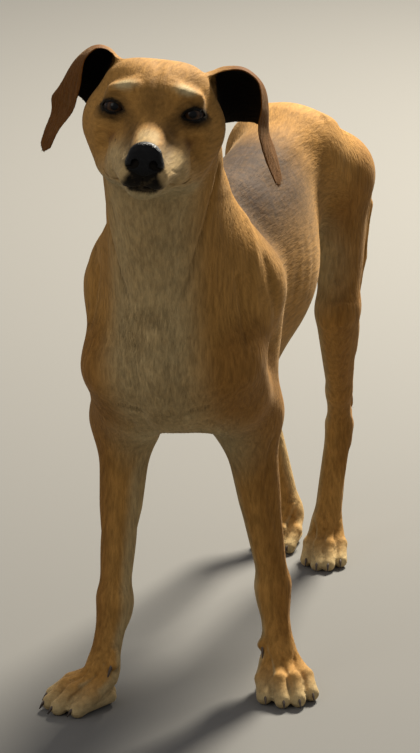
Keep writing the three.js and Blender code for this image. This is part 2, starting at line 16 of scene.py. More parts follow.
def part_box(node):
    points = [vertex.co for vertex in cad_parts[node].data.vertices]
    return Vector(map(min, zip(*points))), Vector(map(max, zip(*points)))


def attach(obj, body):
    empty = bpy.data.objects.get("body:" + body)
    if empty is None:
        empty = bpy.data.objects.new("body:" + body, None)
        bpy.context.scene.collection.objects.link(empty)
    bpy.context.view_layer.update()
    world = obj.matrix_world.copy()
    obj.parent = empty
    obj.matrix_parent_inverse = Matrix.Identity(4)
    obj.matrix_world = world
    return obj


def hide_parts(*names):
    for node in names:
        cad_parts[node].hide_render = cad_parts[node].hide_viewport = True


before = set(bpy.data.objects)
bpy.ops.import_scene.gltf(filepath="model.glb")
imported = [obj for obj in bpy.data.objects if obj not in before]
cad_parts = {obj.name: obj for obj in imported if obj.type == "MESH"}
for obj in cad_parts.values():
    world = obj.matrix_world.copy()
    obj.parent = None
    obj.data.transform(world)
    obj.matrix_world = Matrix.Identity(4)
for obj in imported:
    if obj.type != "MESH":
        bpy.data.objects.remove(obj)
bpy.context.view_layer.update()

log = logging.getLogger("dog")
MM = 0.001
SIDES = (1, -1)
SIDE_NAMES = {1: "left", -1: "right"}
MOST_FACES = 196_000  # triangles in one piece
SAME_PLACE = 1e-6  # metres between corners that are one corner
FAR = 1e3  # mm, beyond anything
FLOOR_GAP = 0.3  # mm from the floor to the lowest skin
EYE_REACH = 24  # mm from an eye's middle to the end of its lids

Points = np.ndarray
Values = np.ndarray
Triple = tuple[float, float, float]
Colour = Triple
Piece = bpy.types.Object
Socket = bpy.types.NodeSocket


# ---- small geometry
def vec(x: float, y: float, z: float) -> Points:
    """A place or direction as an array."""
    return np.array((x, y, z), float)


def unit(v: Points) -> Points:
    """Directions made one long, row by row."""
    return v / np.maximum(np.linalg.norm(v, axis=-1, keepdims=True), 1e-12)


def smooth(low: float, high: float, x: Values) -> Values:
    """A smooth step from 0 at low to 1 at high."""
    t = np.clip((x - low) / (high - low), 0.0, 1.0)
    return t * t * (3.0 - 2.0 * t)


def fade(low: float, high: float, x: Values) -> Values:
    """A smooth step from 1 at low to 0 at high."""
    return 1 - smooth(low, high, x)


def lengths(v: Points) -> Values:
    """How long each row is."""
    return np.linalg.norm(v, axis=1)


def in_egg(p: Points, centre: Points, size: Points) -> Values:
    """How far places are from the middle of an egg: 0 there and 1 on its surface."""
    return lengths((p - centre) / size)


def in_box(p: Points, low: Points, high: Points) -> np.ndarray:
    """The indices of the places inside a box."""
    return np.nonzero(((p > low) & (p < high)).all(axis=1))[0]


def soft_less(a: Values, b: Values, reach: float) -> Values:
    """The smaller of two distances, run together over a reach.

    Args:
        a: Distances so far.
        b: Distances of the next shape.
        reach: How far apart the two may be and still run together, in mm.

    Returns:
        The joined distances.
    """
    near = np.maximum(reach - np.abs(a - b), 0.0)
    return np.minimum(a, b) - near * near / (4.0 * reach)


def spline(points: list[Points], steps: int) -> Points:
    """A centripetal Catmull-Rom curve through points.

    Args:
        points: The places that the curve passes through.
        steps: How many places to return.

    Returns:
        Places at even steps of the points' own count, from the first to the last.
    """
    pts = [2 * points[0] - points[1], *points, 2 * points[-1] - points[-2]]
    out = np.empty((steps, 3))
    for i in range(steps):
        place = (len(points) - 1) * i / (steps - 1)
        k = min(int(place), len(points) - 2)
        w = place - k
        p0, p1, p2, p3 = pts[k : k + 4]
        d0, d1, d2 = (max(np.linalg.norm(b - a) ** 0.5, 1e-4) for a, b in ((p0, p1), (p1, p2), (p2, p3)))
        t1 = ((p1 - p0) / d0 - (p2 - p0) / (d0 + d1) + (p2 - p1) / d1) * d1
        t2 = ((p2 - p1) / d1 - (p3 - p1) / (d1 + d2) + (p3 - p2) / d2) * d1
        c2 = -3 * p1 + 3 * p2 - 2 * t1 - t2
        c3 = 2 * p1 - 2 * p2 + t1 + t2
        out[i] = p1 + t1 * w + c2 * w * w + c3 * w**3
    return out


def along_path(p: Points, path: Points | list[Points]) -> tuple[Values, Values]:
    """How far places are from a path, and how far along it.

    Args:
        p: The places.
        path: The path's points in order, as rows or a list.

    Returns:
        The distance to the path, and the part of its length, 0 to 1, at the nearest point.
    """
    best = np.full(len(p), np.inf)
    where = np.zeros(len(p))
    for k in range(len(path) - 1):
        step = path[k + 1] - path[k]
        t = np.clip((p - path[k]) @ step / max(step @ step, 1e-9), 0.0, 1.0)
        d = lengths(p - path[k] - t[:, None] * step)
        closer = d < best
        best[closer] = d[closer]
        where[closer] = (k + t[closer]) / (len(path) - 1)
    return best, where


# ---- where the dog's parts are
@dataclass(frozen=True)
class HeadPose:
    """The head's frame, between the eyes: x to the dog's left, -y along the muzzle. In mm and degrees."""

    at: Triple = (14, -142, 650)
    yaw: float = 16.2
    pitch: float = 11.3
    roll: float = 5.5

    def turn(self) -> Points:
        """The head's turn as a 3 by 3 matrix.

        Returns:
            The matrix.
        """
        turns = ((self.yaw, "Z"), (-self.pitch, "X"), (self.roll, "Y"))
        whole = Matrix.Identity(3)
        for angle, axis in turns:
            whole = whole @ Matrix.Rotation(math.radians(angle), 3, axis)
        return np.array(whole)

    def place(self, x: float, y: float, z: float) -> Points:
        """A place of the head's frame, in the stance's frame."""
        return self.turn() @ vec(x, y, z) + vec(*self.at)

    def local(self, p: Points) -> Points:
        """Places of the stance's frame, in the head's frame."""
        return (p - vec(*self.at)) @ self.turn()

    def direction(self, v: Points) -> Points:
        """Directions of the head's frame, in the stance's frame."""
        return v @ self.turn().T


HEAD = HeadPose()


@dataclass(frozen=True)
class Eye:
    """Where an eyeball is in the head, and its radius, in mm."""

    across: float = 35.5
    back: float = 3
    up: float = -1
    radius: float = 11

    def centre(self, side: int) -> Points:
        """The eyeball's middle in the head's frame."""
        return vec(side * self.across, self.back, self.up)


EYE = Eye()


@dataclass(frozen=True, eq=False)
class Leg:
    """A leg's joints from the top down, in mm, and the turn of its toes in degrees."""

    name: str
    side: int
    top: Points
    middle: Points
    ankle: Points
    knuckle: Points
    toes_turned: float
    crest: Points | None = None
    blade: Points | None = None


FORELEGS = (
    Leg("left", 1, vec(52, -30, 372), vec(44, 64, 283), vec(67, 70, 96), vec(80, 53, 34), 28,
        vec(36, -10, 468), vec(46, 28, 428)),
    Leg("right", -1, vec(-60, -46, 361), vec(-72, 30, 280), vec(-73, -14, 96), vec(-78, -38, 34), -40,
        vec(-48, -22, 468), vec(-63, 4, 428)),
)
HINDLEGS = (
    Leg("left", 1, vec(38, 393, 430), vec(46, 362, 300), vec(27, 446, 142), vec(21, 418, 35), 12),
    Leg("right", -1, vec(-46, 397, 430), vec(-66, 378, 300), vec(-66, 470, 142), vec(-32, 447, 35), -8),
)


@dataclass(frozen=True)
class PawSize:
    """A paw's sizes in mm: toe spacing, length, toe radius, palm and heel radii."""

    spread: float
    reach: float
    toe: float
    palm: float
    heel: float


FORE_PAW = PawSize(15, 62, 8.6, 14.5, 11)
HIND_PAW = PawSize(11.5, 54, 7.8, 13, 9.5)
SPINE_X = -4
WITHERS_Z = 512
CROUP_Z = 524
BRISKET_Z = 272
SIDEWAYS = (1.0, 0.0, 0.0)


# ---- flesh
@dataclass(frozen=True)
class Mass:
    """A tapered rod of muscle or bone with round ends.

    Its section is squeezed along one direction, and blend is the reach over which it runs into the flesh
    before it. A carve takes flesh away.
    """

    start: Points
    start_radius: float
    end: Points
    end_radius: float
    squeeze: float = 1.0
    along: Points = field(default_factory=lambda: vec(*SIDEWAYS))
    blend: float = 14.0
    carve: bool = False

    def distance(self, p: Points) -> Values:
        """How far outside the mass places are.

        Args:
            p: The places, in mm.

        Returns:
            Distances in mm, negative inside.
        """
        axis = self.end - self.start
        off = p - self.start
        t = np.clip(off @ axis / max(axis @ axis, 1e-9), 0.0, 1.0)
        radius = self.start_radius + t * (self.end_radius - self.start_radius)
        off = off - t[:, None] * axis
        out = lengths(off) + 1e-9
        sideways = off @ self.along
        off = off + (1 / self.squeeze - 1) * sideways[:, None] * self.along
        return out - radius * out / (lengths(off) + 1e-9)

    def box(self, margin: float) -> tuple[Points, Points]:
        """The lowest and highest corners of the space it can act in."""
        grow = max(self.start_radius, self.end_radius) * max(self.squeeze, 1) + self.blend + margin
        return np.minimum(self.start, self.end) - grow, np.maximum(self.start, self.end) + grow


def trunk_masses() -> list[Mass]:
    """Rib cage, loin, pelvis, shoulders and haunches.

    Returns:
        The masses, in the order in which they run together.
    """
    x = SPINE_X
    masses = [
        Mass(vec(x, 10, 388), 96, vec(x, 200, 404), 92, 0.74, blend=30),
        Mass(vec(x, -22, 356), 50, vec(x, 120, BRISKET_Z + 48), 48, 0.9, blend=40),
        Mass(vec(x, 15, WITHERS_Z - 48), 44, vec(x, 110, WITHERS_Z - 46), 38, 0.8, blend=30),
        Mass(vec(x, 150, 460), 46, vec(x - 2, 330, CROUP_Z - 54), 54, 0.95, blend=30),
        Mass(vec(x, 190, 392), 74, vec(x - 3, 345, 418), 50, 0.86, blend=40),
        Mass(vec(x, 120, 336), 52, vec(x, 215, 372), 54, 0.86, blend=40),
        Mass(vec(x - 3, 350, CROUP_Z - 54), 54, vec(x - 3, 408, 440), 45, 1.08, blend=26),
        Mass(vec(x - 3, 380, 420), 44, vec(x - 3, 424, 416), 36, blend=26),
    ]
    for leg in FORELEGS:
        s = leg.side
        shoulder, elbow = leg.top, leg.middle
        masses += [
            Mass(leg.crest, 33, leg.blade, 38, blend=30),
            Mass(leg.blade, 41, shoulder, 30, 0.88, blend=34),
            Mass(shoulder, 30, elbow + vec(0, -10, 12), 32, blend=26),
            Mass(vec(x + s * 44, 75, 415), 36, elbow + vec(s * -2, 2, 16), 28, 0.9, blend=26),
            Mass(vec(x + s * 16, -34, 346), 30, shoulder + vec(s * -10, 34, -58), 26, blend=36),
        ]
    for leg in HINDLEGS:
        s = leg.side
        hip, stifle = leg.top, leg.middle
        seat = vec(hip[0] - s, 442, 416)
        masses += [
            Mass(vec(x + s * 26, 352, 472), 34, hip + vec(0, -4, 16), 38, blend=26),
            Mass(hip, 49, stifle + vec(0, 10, 12), 32, 0.68, blend=24),
            Mass(seat, 34, vec(stifle[0] - s * 5, 412, 335), 25, 0.75, blend=20),
        ]
    return masses


def neck_masses() -> list[Mass]:
    """The neck, from the shoulders to the back of the skull.

    Returns:
        The masses.
    """
    return [
        Mass(vec(SPINE_X - 2, 22, 430), 78, vec(-4, -72, 588), 54, 0.94, blend=34),
        Mass(vec(SPINE_X, -34, 400), 62, vec(0, -88, 556), 46, 0.97, blend=34),
        Mass(vec(-2, -66, 596), 50, HEAD.place(0, 62, -4), 42, blend=24),
    ]


def head_masses() -> list[Mass]:
    """Brain case, muzzle, jaw, cheeks, brows, lips and the hollows of the eyes.

    Returns:
        The masses, the carved ones last on each side.
    """
    along = HEAD.direction(vec(*SIDEWAYS))
    at = HEAD.place
    masses = [
        Mass(at(0, 30, 2), 41, at(0, 68, 2), 39, 1.16, along, 20),
        Mass(at(0, 6, -2), 29, at(0, 40, 2), 34, 1.25, along, 18),
        Mass(at(0, -6, -18), 20, at(0, -87, -42), 16, 1.05, along, 16),
        Mass(at(0, -74, -68), 10.5, at(0, -8, -62), 15, 1.45, along, 8),
        Mass(at(0, -8, -54), 22, at(0, 58, -44), 32, 1.15, along, 22),
    ]
    for s in SIDES:
        masses += [
            Mass(at(s * 27, 40, 18), 22, at(s * 30, 66, 12), 20, blend=20),
            Mass(at(s * 41, 10, -18), 12, at(s * 47, 44, -10), 13, blend=24),
            Mass(at(s * 39, 36, -24), 23, at(s * 32, 22, -50), 19, blend=28),
            Mass(at(s * 20, -3, 16), 8.5, at(s * 38, 4, 13), 8, blend=12),
            Mass(at(s * 19, -14, -40), 20, at(s * 11, -86, -54), 13.5, blend=12),
            Mass(at(s * 25, -26, -54), 12, at(s * 31, 2, -56), 13, blend=12),
            Mass(at(s * 39, -22, -1), 11, at(s * 45, -16, -3), 12, blend=9, carve=True),
        ]
    return masses


def foreleg_masses(leg: Leg) -> list[Mass]:
    """Forearm, wrist and pastern of one foreleg.

    Args:
        leg: The leg.

    Returns:
        Its masses.
    """
    s = leg.side
    elbow, wrist, knuckle = leg.middle, leg.ankle, leg.knuckle
    return [
        Mass(elbow + vec(0, -10, -6), 28, wrist + vec(0, 1, 12), 16.5, blend=34),
        Mass(elbow + vec(s * 2, 12, 6), 19, elbow + 0.45 * (wrist - elbow), 13, blend=18),
        Mass(wrist + vec(0, 0, 8), 15, wrist + vec(0, 2, -8), 15, blend=14),
        Mass(wrist + vec(0, 9, -2), 10, wrist + vec(0, 10, -14), 9, blend=12),
        Mass(wrist, 15, knuckle, 15, 1.06, blend=14),
    ]


def hindleg_masses(leg: Leg) -> list[Mass]:
    """Shank, hock and pastern of one hind leg.

    Args:
        leg: The leg.

    Returns:
        Its masses.
    """
    s = leg.side
    stifle, hock, knuckle = leg.middle, leg.ankle, leg.knuckle
    heel = hock + vec(0, 16, 10)

    def shin(t: float) -> Points:
        """A place on the line from the hock to the stifle."""
        return hock + (stifle - hock) * t

    return [
        Mass(stifle + vec(0, 4, -4), 29, shin(0.3), 16, 0.85, blend=16),
        Mass(stifle + vec(s * -3, 34, -26), 21, shin(0.42) + vec(0, 14, 4), 14, 0.8, blend=18),
        Mass(shin(0.3), 15, hock + vec(0, -4, 4), 14, blend=10),
        Mass(shin(0.5) + vec(0, 26, 0), 9, heel, 8.5, 0.8, blend=10),
        Mass(heel, 9, hock + vec(0, 5, -18), 12, blend=10),
        Mass(hock + vec(0, -2, 0), 15, knuckle, 14.5, 1.05, blend=12),
    ]


@dataclass(frozen=True)
class Toe:
    """One toe: its root, its knuckle, its tip and its radius, in mm."""

    root: Points
    knuckle: Points
    tip: Points
    radius: float


@dataclass(frozen=True)
class Paw:
    """A paw on the floor under a leg's knuckle: x to the dog's left, y back along the foot."""

    leg: Leg
    size: PawSize

    def at(self, x: float, y: float, z: float) -> Points:
        """A place of the paw's own frame, in the stance's frame.

        Args:
            x: How far to the left, in mm.
            y: How far back.
            z: How far up.

        Returns:
            The place in the stance's frame.
        """
        knuckle = self.leg.knuckle
        turn = np.array(Matrix.Rotation(math.radians(self.leg.toes_turned), 3, "Z"))
        return turn @ vec(x, y, z) + vec(knuckle[0], knuckle[1], 0)

    def toes(self) -> list[Toe]:
        """The four toes from the dog's right to its left.

        Returns:
            The toes.
        """
        toes = []
        for place in (-1.5, -0.5, 0.5, 1.5):
            outer = abs(place) > 1
            x = place * self.size.spread
            reach = self.size.reach - (13 if outer else 0)
            root = self.at(x * 0.6, 0 if outer else -4, 27)
            knuckle = self.at(x, 25 - reach, 19 if outer else 22)
            tip = self.at(x * 1.06, self.size.toe - 3 - reach, self.size.toe - 1)
            toes.append(Toe(root, knuckle, tip, self.size.toe))
        return toes

    def masses(self) -> list[Mass]:
        """The paw's palm, heel and toes.

        Returns:
            The masses.
        """
        size = self.size
        masses = [
            Mass(self.leg.knuckle, 15.5, self.at(0, -14, 17), size.palm, blend=12),
            Mass(self.at(0, 4, 8), size.heel, self.at(0, -16, 8), size.heel + 3, blend=8),
        ]
        for toe in self.toes():
            low_root = np.array((*toe.root[:2], 9.0))
            masses += [
                Mass(toe.root, 8.4, toe.knuckle, toe.radius - 0.3, blend=7),
                Mass(toe.knuckle, toe.radius - 0.3, toe.tip, toe.radius, blend=3),
                Mass(low_root, 8, toe.tip, toe.radius - 1, blend=4),
            ]
        return masses


def dewclaw_mass(leg: Leg) -> Mass:
    """The small toe on the inner side of a foreleg.

    Args:
        leg: The foreleg.

    Returns:
        The toe's mass.
    """
    paw = Paw(leg, FORE_PAW)
    s = -leg.side
    return Mass(paw.at(s * 10, 8, 52), 6.5, paw.at(s * 17, 4, 44), 6.5, blend=4)


TAIL_LINE = (
    (SPINE_X - 2, 450, 462), (SPINE_X + 6, 479, 450), (22, 499, 418), (36, 499, 378),
    (33, 493, 320), (25, 488, 250), (21, 486, 196), (28, 482, 154),
)
TAIL_RADII = (20, 15, 12, 10.5, 9.2, 8.2, 7.2, 5.2)


def tail_masses() -> list[Mass]:
    """The tail, hanging and swung to the dog's left.

    Returns:
        The masses, from the root to the tip.
    """
    line = [vec(*p) for p in TAIL_LINE]
    return [
        Mass(line[i], TAIL_RADII[i], line[i + 1], TAIL_RADII[i + 1], blend=6 if i else 20)
        for i in range(len(line) - 1)
    ]


@dataclass
class EarSheet:
    """An ear as a curved sheet from its front edge over a ridge to its back edge. In the head's frame."""

    side: int
    front: tuple[Triple, ...]
    ridge: tuple[Triple, ...]
    back: tuple[Triple, ...]
    steps: tuple[int, int] = (72, 36)

    def __post_init__(self) -> None:
        """Works out the sheet's middle surface."""
        lines = [
            spline([HEAD.place(x * self.side, y, z) for x, y, z in points], self.steps[0])
            for points in (self.front, self.ridge, self.back)
        ]
        rows = [spline([line[i] for line in lines], self.steps[1]) for i in range(self.steps[0])]
        self.grid = np.array(rows)
        columns = self.steps[1]
        faces = [
            (i * columns + j, (i + 1) * columns + j, (i + 1) * columns + j + 1, i * columns + j + 1)
            for i in range(self.steps[0] - 1)
            for j in range(columns - 1)
        ]
        self.tree = BVHTree.FromPolygons([tuple(p) for p in self.grid.reshape(-1, 3)], faces)

    def nearest(self, p: Points) -> tuple[Values, Values, Values, Points]:
        """The nearest point of the middle surface to each place.

        Args:
            p: Places in the stance's frame, in mm.

        Returns:
            The distance, the place along the ear (0 root, 1 tip), the place across it (0 front, 1 back),
            and the surface's normal there.
        """
        n = len(p)
        distance, u, v, normals = np.empty(n), np.empty(n), np.empty(n), np.empty((n, 3))
        columns = self.steps[1] - 1
        for i, place in enumerate(p):
            _, normal, face, gap = self.tree.find_nearest(Vector(place))
            distance[i] = gap
            u[i] = (face // columns) / (self.steps[0] - 2)
            v[i] = (face % columns) / (columns - 1)
            normals[i] = normal
        return distance, u, v, normals

    def close_to(self, p: Points, room: float = 6) -> np.ndarray:
        """The indices of the places within the ear's box and some mm round it."""
        rows = self.grid.reshape(-1, 3)
        return in_box(p, rows.min(0) - room, rows.max(0) + room)

    def half_thickness(self, u: Values, v: Values) -> Values:
        """Half of the ear's thickness, from its root to its rim, in mm.

        Args:
            u: Places along the ear, 0 to 1.
            v: Places across it, 0 to 1.

        Returns:
            The half thickness at each place.
        """
        body = 2.5 - 0.5 * np.minimum(u * 3, 1)
        rim = np.maximum(np.abs(2 * v - 1) ** 4, u**6)
        return body + (1.5 - body) * rim


EARS = (
    EarSheet(
        1,
        ((48, 44, 34), (62, 40, 41), (78, 37, 43), (93, 36, 34),
         (99, 37, 12), (98, 42, -10), (106, 51, -36), (119, 60, -61)),
        ((46, 66, 34), (60, 78, 38), (80, 80, 38), (99, 76, 24),
         (105, 74, 4), (105, 74, -16), (113, 72, -38), (123, 72, -65)),
        ((50, 60, -12), (62, 80, -12), (76, 95, -10), (94, 103, -10),
         (104, 104, -16), (111, 101, -25), (119, 94, -42), (125, 84, -59)),
    ),
    EarSheet(
        -1,
        ((38, 44, 38), (47, 40, 47), (59, 36, 50), (70, 34, 38),
         (72, 35, 14), (77, 42, -12), (89, 52, -32), (96, 60, -51)),
        ((40, 66, 38), (52, 76, 46), (68, 78, 44), (83, 74, 30),
         (88, 71, 8), (88, 70, -12), (96, 70, -33), (103, 72, -56)),
        ((48, 60, -14), (60, 82, -12), (76, 95, -2), (92, 100, 2),
         (101, 98, -3), (100, 95, -18), (104, 90, -34), (107, 82, -49)),
    ),
)


@dataclass(frozen=True)
class Lids:
    """The two lids of one eye and their almond opening. In the head's frame, in mm; the tilt in degrees."""

    side: int
    thick: float = 2.0
    half_width: float = 12.4
    half_height: float = 4.9
    tilt: float = 5.0
    facing: Triple = (0.36, -0.93, 0.05)

    def axes(self) -> tuple[Points, Points, Points]:
        """Along the opening to its outer corner, up across it, and out of the head.

        Returns:
            Three directions of the head's frame.
        """
        out = unit(vec(self.side * self.facing[0], *self.facing[1:]))
        along = unit(np.cross(out, vec(0, 0, -self.side)))
        up = -self.side * np.cross(along, out)
        angle = math.radians(self.tilt)
        return (along * math.cos(angle) + up * math.sin(angle),
                up * math.cos(angle) - along * math.sin(angle), out)

    def coordinates(self, local: Points) -> tuple[Values, Values, Values]:
        """Places of the head's frame as distances along the opening, up across it and out of the eye.

        Args:
            local: The places.

        Returns:
            The three distances, in mm.
        """
        off = local - EYE.centre(self.side)
        along, up, out = self.axes()
        return off @ along, off @ up, off @ out

    def outside_opening(self, a: Values, b: Values) -> Values:
        """How far outside the almond between the lids a place is, seen along the eye's axis.

        Args:
            a: Distances along the opening.
            b: Distances up across it.

        Returns:
            Distances in mm, negative inside.
        """
        w, h = self.half_width, self.half_height
        arc = (w * w + h * h) / (2 * h)
        drop = 0.5 * np.clip(1 - np.abs(a) / w, 0, 1)
        return np.maximum(np.hypot(a, b - drop + arc - h), np.hypot(a, b - drop - arc + h)) - arc

    def close_over(self, d: Values, local: Points) -> Values:
        """Lays closed lids over the eye's hollow: distances outside the flesh, with the lids in place.

        Args:
            d: Distances so far.
            local: The places, in the head's frame.

        Returns:
            The distances with the lids.
        """
        a, b, w = self.coordinates(local)
        ball = np.sqrt(a * a + b * b + w * w) - EYE.radius
        return soft_less(d, ball - self.thick, 5.0)

    def open_up(self, p: Points) -> Points:
        """Sinks the skin between the lids behind the eyeball's front.

        Args:
            p: Places of the skin, in the stance's frame.

        Returns:
            The places, with those inside the opening moved in.
        """
        index = np.nonzero(lengths(HEAD.local(p) - EYE.centre(self.side)) < EYE_REACH)[0]
        a, b, w = self.coordinates(HEAD.local(p[index]))
        inside = smooth(0.0, 0.9, -self.outside_opening(a, b)) * (w > 0)
        floor = np.sqrt(np.maximum((EYE.radius - 2.5) ** 2 - a * a - b * b, 1.0))
        move = inside * np.minimum(floor - w, 0)
        p[index] += HEAD.direction(move[:, None] * self.axes()[2])
        return p


@dataclass
class Flesh:
    """The whole dog as one field: distances outside its outline, from a trunk and the branches off it."""

    base: list[Mass]
    branches: list[list[Mass]]
    margin: float = 14.0
    head_branch: int = 0
    ear_inset: float = 0.5

    def near(self, p: Points) -> list[np.ndarray]:
        """For each mass in order, which places it can act on."""
        masses = self.base + [mass for branch in self.branches for mass in branch]
        return [in_box(p, *mass.box(self.margin)) for mass in masses]

    def distance(self, p: Points, near: list[np.ndarray]) -> Values:
        """How far outside the flesh each place is.

        Args:
            p: Places in the stance's frame, in mm.
            near: What near() gave for about these places.

        Returns:
            Distances in mm, negative inside.
        """
        reached = iter(near)
        trunk = self.run_together(np.full(len(p), FAR), p, self.base, reached)
        nearest = trunk
        for k, branch in enumerate(self.branches):
            d = self.run_together(trunk.copy(), p, branch, reached)
            if k == self.head_branch:
                d = self.finish_head(d, p)
            nearest = np.minimum(nearest, d)
        return nearest

    @staticmethod
    def run_together(d: Values, p: Points, masses: list[Mass], near: Iterator[np.ndarray]) -> Values:
        """Joins or carves masses, in order, into distances so far.

        Args:
            d: Distances so far, which change in place.
            p: The places.
            masses: The masses to add.
            near: For each mass in turn, which places it can act on.

        Returns:
            The distances with the masses in them.
        """
        for mass in masses:
            index = next(near)
            if not len(index):
                continue
            own = mass.distance(p[index])
            if mass.carve:
                d[index] = -soft_less(-d[index], own, mass.blend)
            else:
                d[index] = soft_less(d[index], own, mass.blend)
        return d

    def finish_head(self, d: Values, p: Points) -> Values:
        """Adds the lids and the ears to the head; the ears run into it at their roots only.

        Args:
            d: Distances outside the head's masses, which change in place.
            p: The places.

        Returns:
            The distances with lids and ears.
        """
        local = HEAD.local(p)
        for side in SIDES:
            at_eye = np.nonzero(lengths(local - EYE.centre(side)) < EYE_REACH)[0]
            d[at_eye] = Lids(side).close_over(d[at_eye], local[at_eye])
        for ear in EARS:
            index = ear.close_to(p, self.margin)
            if len(index):
                gap, u, v, _ = ear.nearest(p[index])
                own = gap - ear.half_thickness(u, v) + self.ear_inset
                d[index] = soft_less(d[index], own, 1.0 + 9.0 * fade(0.02, 0.3, u))
        return d


def whole_flesh() -> Flesh:
    """The whole dog's flesh, in the order in which its masses run together.

    Returns:
        The flesh.
    """
    branches = [neck_masses() + head_masses(), tail_masses()]
    for leg in FORELEGS:
        branches.append(foreleg_masses(leg) + Paw(leg, FORE_PAW).masses() + [dewclaw_mass(leg)])
    for leg in HINDLEGS:
        branches.append(hindleg_masses(leg) + Paw(leg, HIND_PAW).masses())
    return Flesh(trunk_masses(), branches)


Measure = Callable[[Points], Values]


def settle_on(
    p: Points, field_of: Callable[[Points], Measure], rounds: int, step: float = 0.3, stride: float = 4.0
) -> Points:
    """Moves places onto the zero surface of a field.

    Args:
        p: Places in mm.
        field_of: Called with the places at each round, it gives the function that measures them.
        rounds: How many steps to take.
        step: The reach over which the field's slope is measured.
        stride: The longest step.

    Returns:
        The places after the last step.
    """
    corners = np.array(((1, -1, -1), (-1, -1, 1), (-1, 1, -1), (1, 1, 1)), float)
    for _ in range(rounds):
        measure = field_of(p)
        gradient = np.zeros_like(p)
        value = np.zeros(len(p))
        for corner in corners:
            d = measure(p + corner * step)
            gradient += d[:, None] * corner
            value += d / 4
        gradient /= 4 * step
        slope = np.maximum((gradient**2).sum(1), 0.25)
        p = p - np.clip(value / slope, -stride, stride)[:, None] * gradient
    return p


# ---- skin
FLESH_NODES = tuple(
    ["trunk", "neck", "tail", "head"]
    + [f"{part}_{SIDE_NAMES[s]}" for part in
       ("ear", "foreleg", "paw_fore", "thigh", "shank", "paw_hind") for s in SIDES]
)
FILLING_NODES = ("eye_left", "eye_right", "nose")


def shift_to_frame() -> Points:
    """From the stance's own places to the frame's, in mm, read off the left eye."""
    low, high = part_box("eye_left")
    return np.array((low + high) / 2) / MM - HEAD.place(*EYE.centre(1))


SHIFT = shift_to_frame()


def to_frame(p: Points) -> Points:
    """Places of the stance, in mm, as places of the frame, in metres."""
    return (p + SHIFT) * MM


def read_rows(source: bpy.types.bpy_prop_collection, name: str, columns: int, kind: type) -> np.ndarray:
    """Reads one property of many elements, as rows.

    Args:
        source: The elements.
        name: The property.
        columns: How many values it has.
        kind: The type of its values.

    Returns:
        One row to an element.
    """
    out = np.empty(len(source) * columns, kind)
    source.foreach_get(name, out)
    return out.reshape(-1, columns)


def read_places(mesh: bpy.types.Mesh) -> Points:
    """A mesh's vertices as rows, in the stance's frame, in mm."""
    return read_rows(mesh.vertices, "co", 3, np.float32).astype(float) / MM - SHIFT


def write_places(mesh: bpy.types.Mesh, places: Points) -> None:
    """Moves a mesh's vertices to places of the stance, in mm."""
    mesh.vertices.foreach_set("co", to_frame(places).astype(np.float32).ravel())
    mesh.update()


def read_normals(mesh: bpy.types.Mesh) -> Points:
    """A mesh's vertex normals, as rows."""
    return read_rows(mesh.vertex_normals, "vector", 3, np.float32).astype(float)


def stand(name: str, data: bpy.types.ID) -> Piece:
    """Puts an object into the scene, at the origin.

    Args:
        name: The object's name.
        data: Its mesh, curve, light or camera.

    Returns:
        The object.
    """
    piece = bpy.data.objects.new(name, data)
    bpy.context.scene.collection.objects.link(piece)
    return piece


def new_piece(name: str, shape: bmesh.types.BMesh) -> Piece:
    """Turns a finished bmesh into an object with smooth faces.

    Args:
        name: The object's name.
        shape: The bmesh, which is freed.

    Returns:
        The object.
    """
    mesh = bpy.data.meshes.new(name)
    shape.to_mesh(mesh)
    shape.free()
    mesh.shade_smooth()
    return stand(name, mesh)


def node_copy(name: str) -> bmesh.types.BMesh:
    """A copy of a node's mesh, with its corners joined.

    Args:
        name: The node's name.

    Returns:
        The copy.
    """
    shape = bmesh.new()
    shape.from_mesh(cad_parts[name].data)
    bmesh.ops.remove_doubles(shape, verts=shape.verts, dist=SAME_PLACE)
    return shape


def apply_modifiers(piece: Piece) -> None:
    """Makes a piece's modifiers part of its mesh.

    Args:
        piece: The piece, which gets a new mesh.
    """
    graph = bpy.context.evaluated_depsgraph_get()
    mesh = bpy.data.meshes.new_from_object(piece.evaluated_get(graph))
    piece.modifiers.clear()
    old = piece.data
    piece.data = mesh
    bpy.data.meshes.remove(old)


def make_lump(piece: Piece, size: float) -> None:
    """Makes a piece one watertight lump of small squares, of a size in mm.

    Args:
        piece: The piece.
        size: The squares' size.
    """
    remesh = piece.modifiers.new("lump", "REMESH")
    remesh.mode = "VOXEL"
    remesh.voxel_size = size * MM
    apply_modifiers(piece)


@dataclass(frozen=True)
class Crease:
    """A groove in the skin along a line, or a ridge where its depth is negative. In mm."""

    line: tuple[Triple, ...]
    width: float
    depth: float
    on_head: bool = True
    mirrored: bool = True
    fade: float = 0.15

    def paths(self) -> list[Points]:
        """The line's smooth paths in the stance's frame, one or two of them.

        Returns:
            The paths.
        """
        out = []
        for side in SIDES if self.mirrored else (1,):
            places = [vec(side * x, y, z) for x, y, z in self.line]
            if self.on_head:
                places = [HEAD.place(*p) for p in places]
            out.append(spline(places, 6 * len(places)))
        return out

    def sink(self, p: Points, tree: BVHTree) -> Values:
        """How far each place goes in.

        Args:
            p: Places of the skin.
            tree: The skin's own faces, on which the line is laid first.

        Returns:
            The way inwards along the skin's normals, in mm.
        """
        total = np.zeros(len(p))
        for path in self.paths():
            path = np.array([tree.find_nearest(Vector(q))[0] for q in path])
            low, high = path.min(0) - 3 * self.width, path.max(0) + 3 * self.width
            index = in_box(p, low, high)
            if not len(index):
                continue
            d, t = along_path(p[index], path)
            ends = smooth(0, self.fade, t) * smooth(0, self.fade, 1 - t)
            total[index] += self.depth * np.exp(-((d / self.width) ** 2)) * ends
        return total


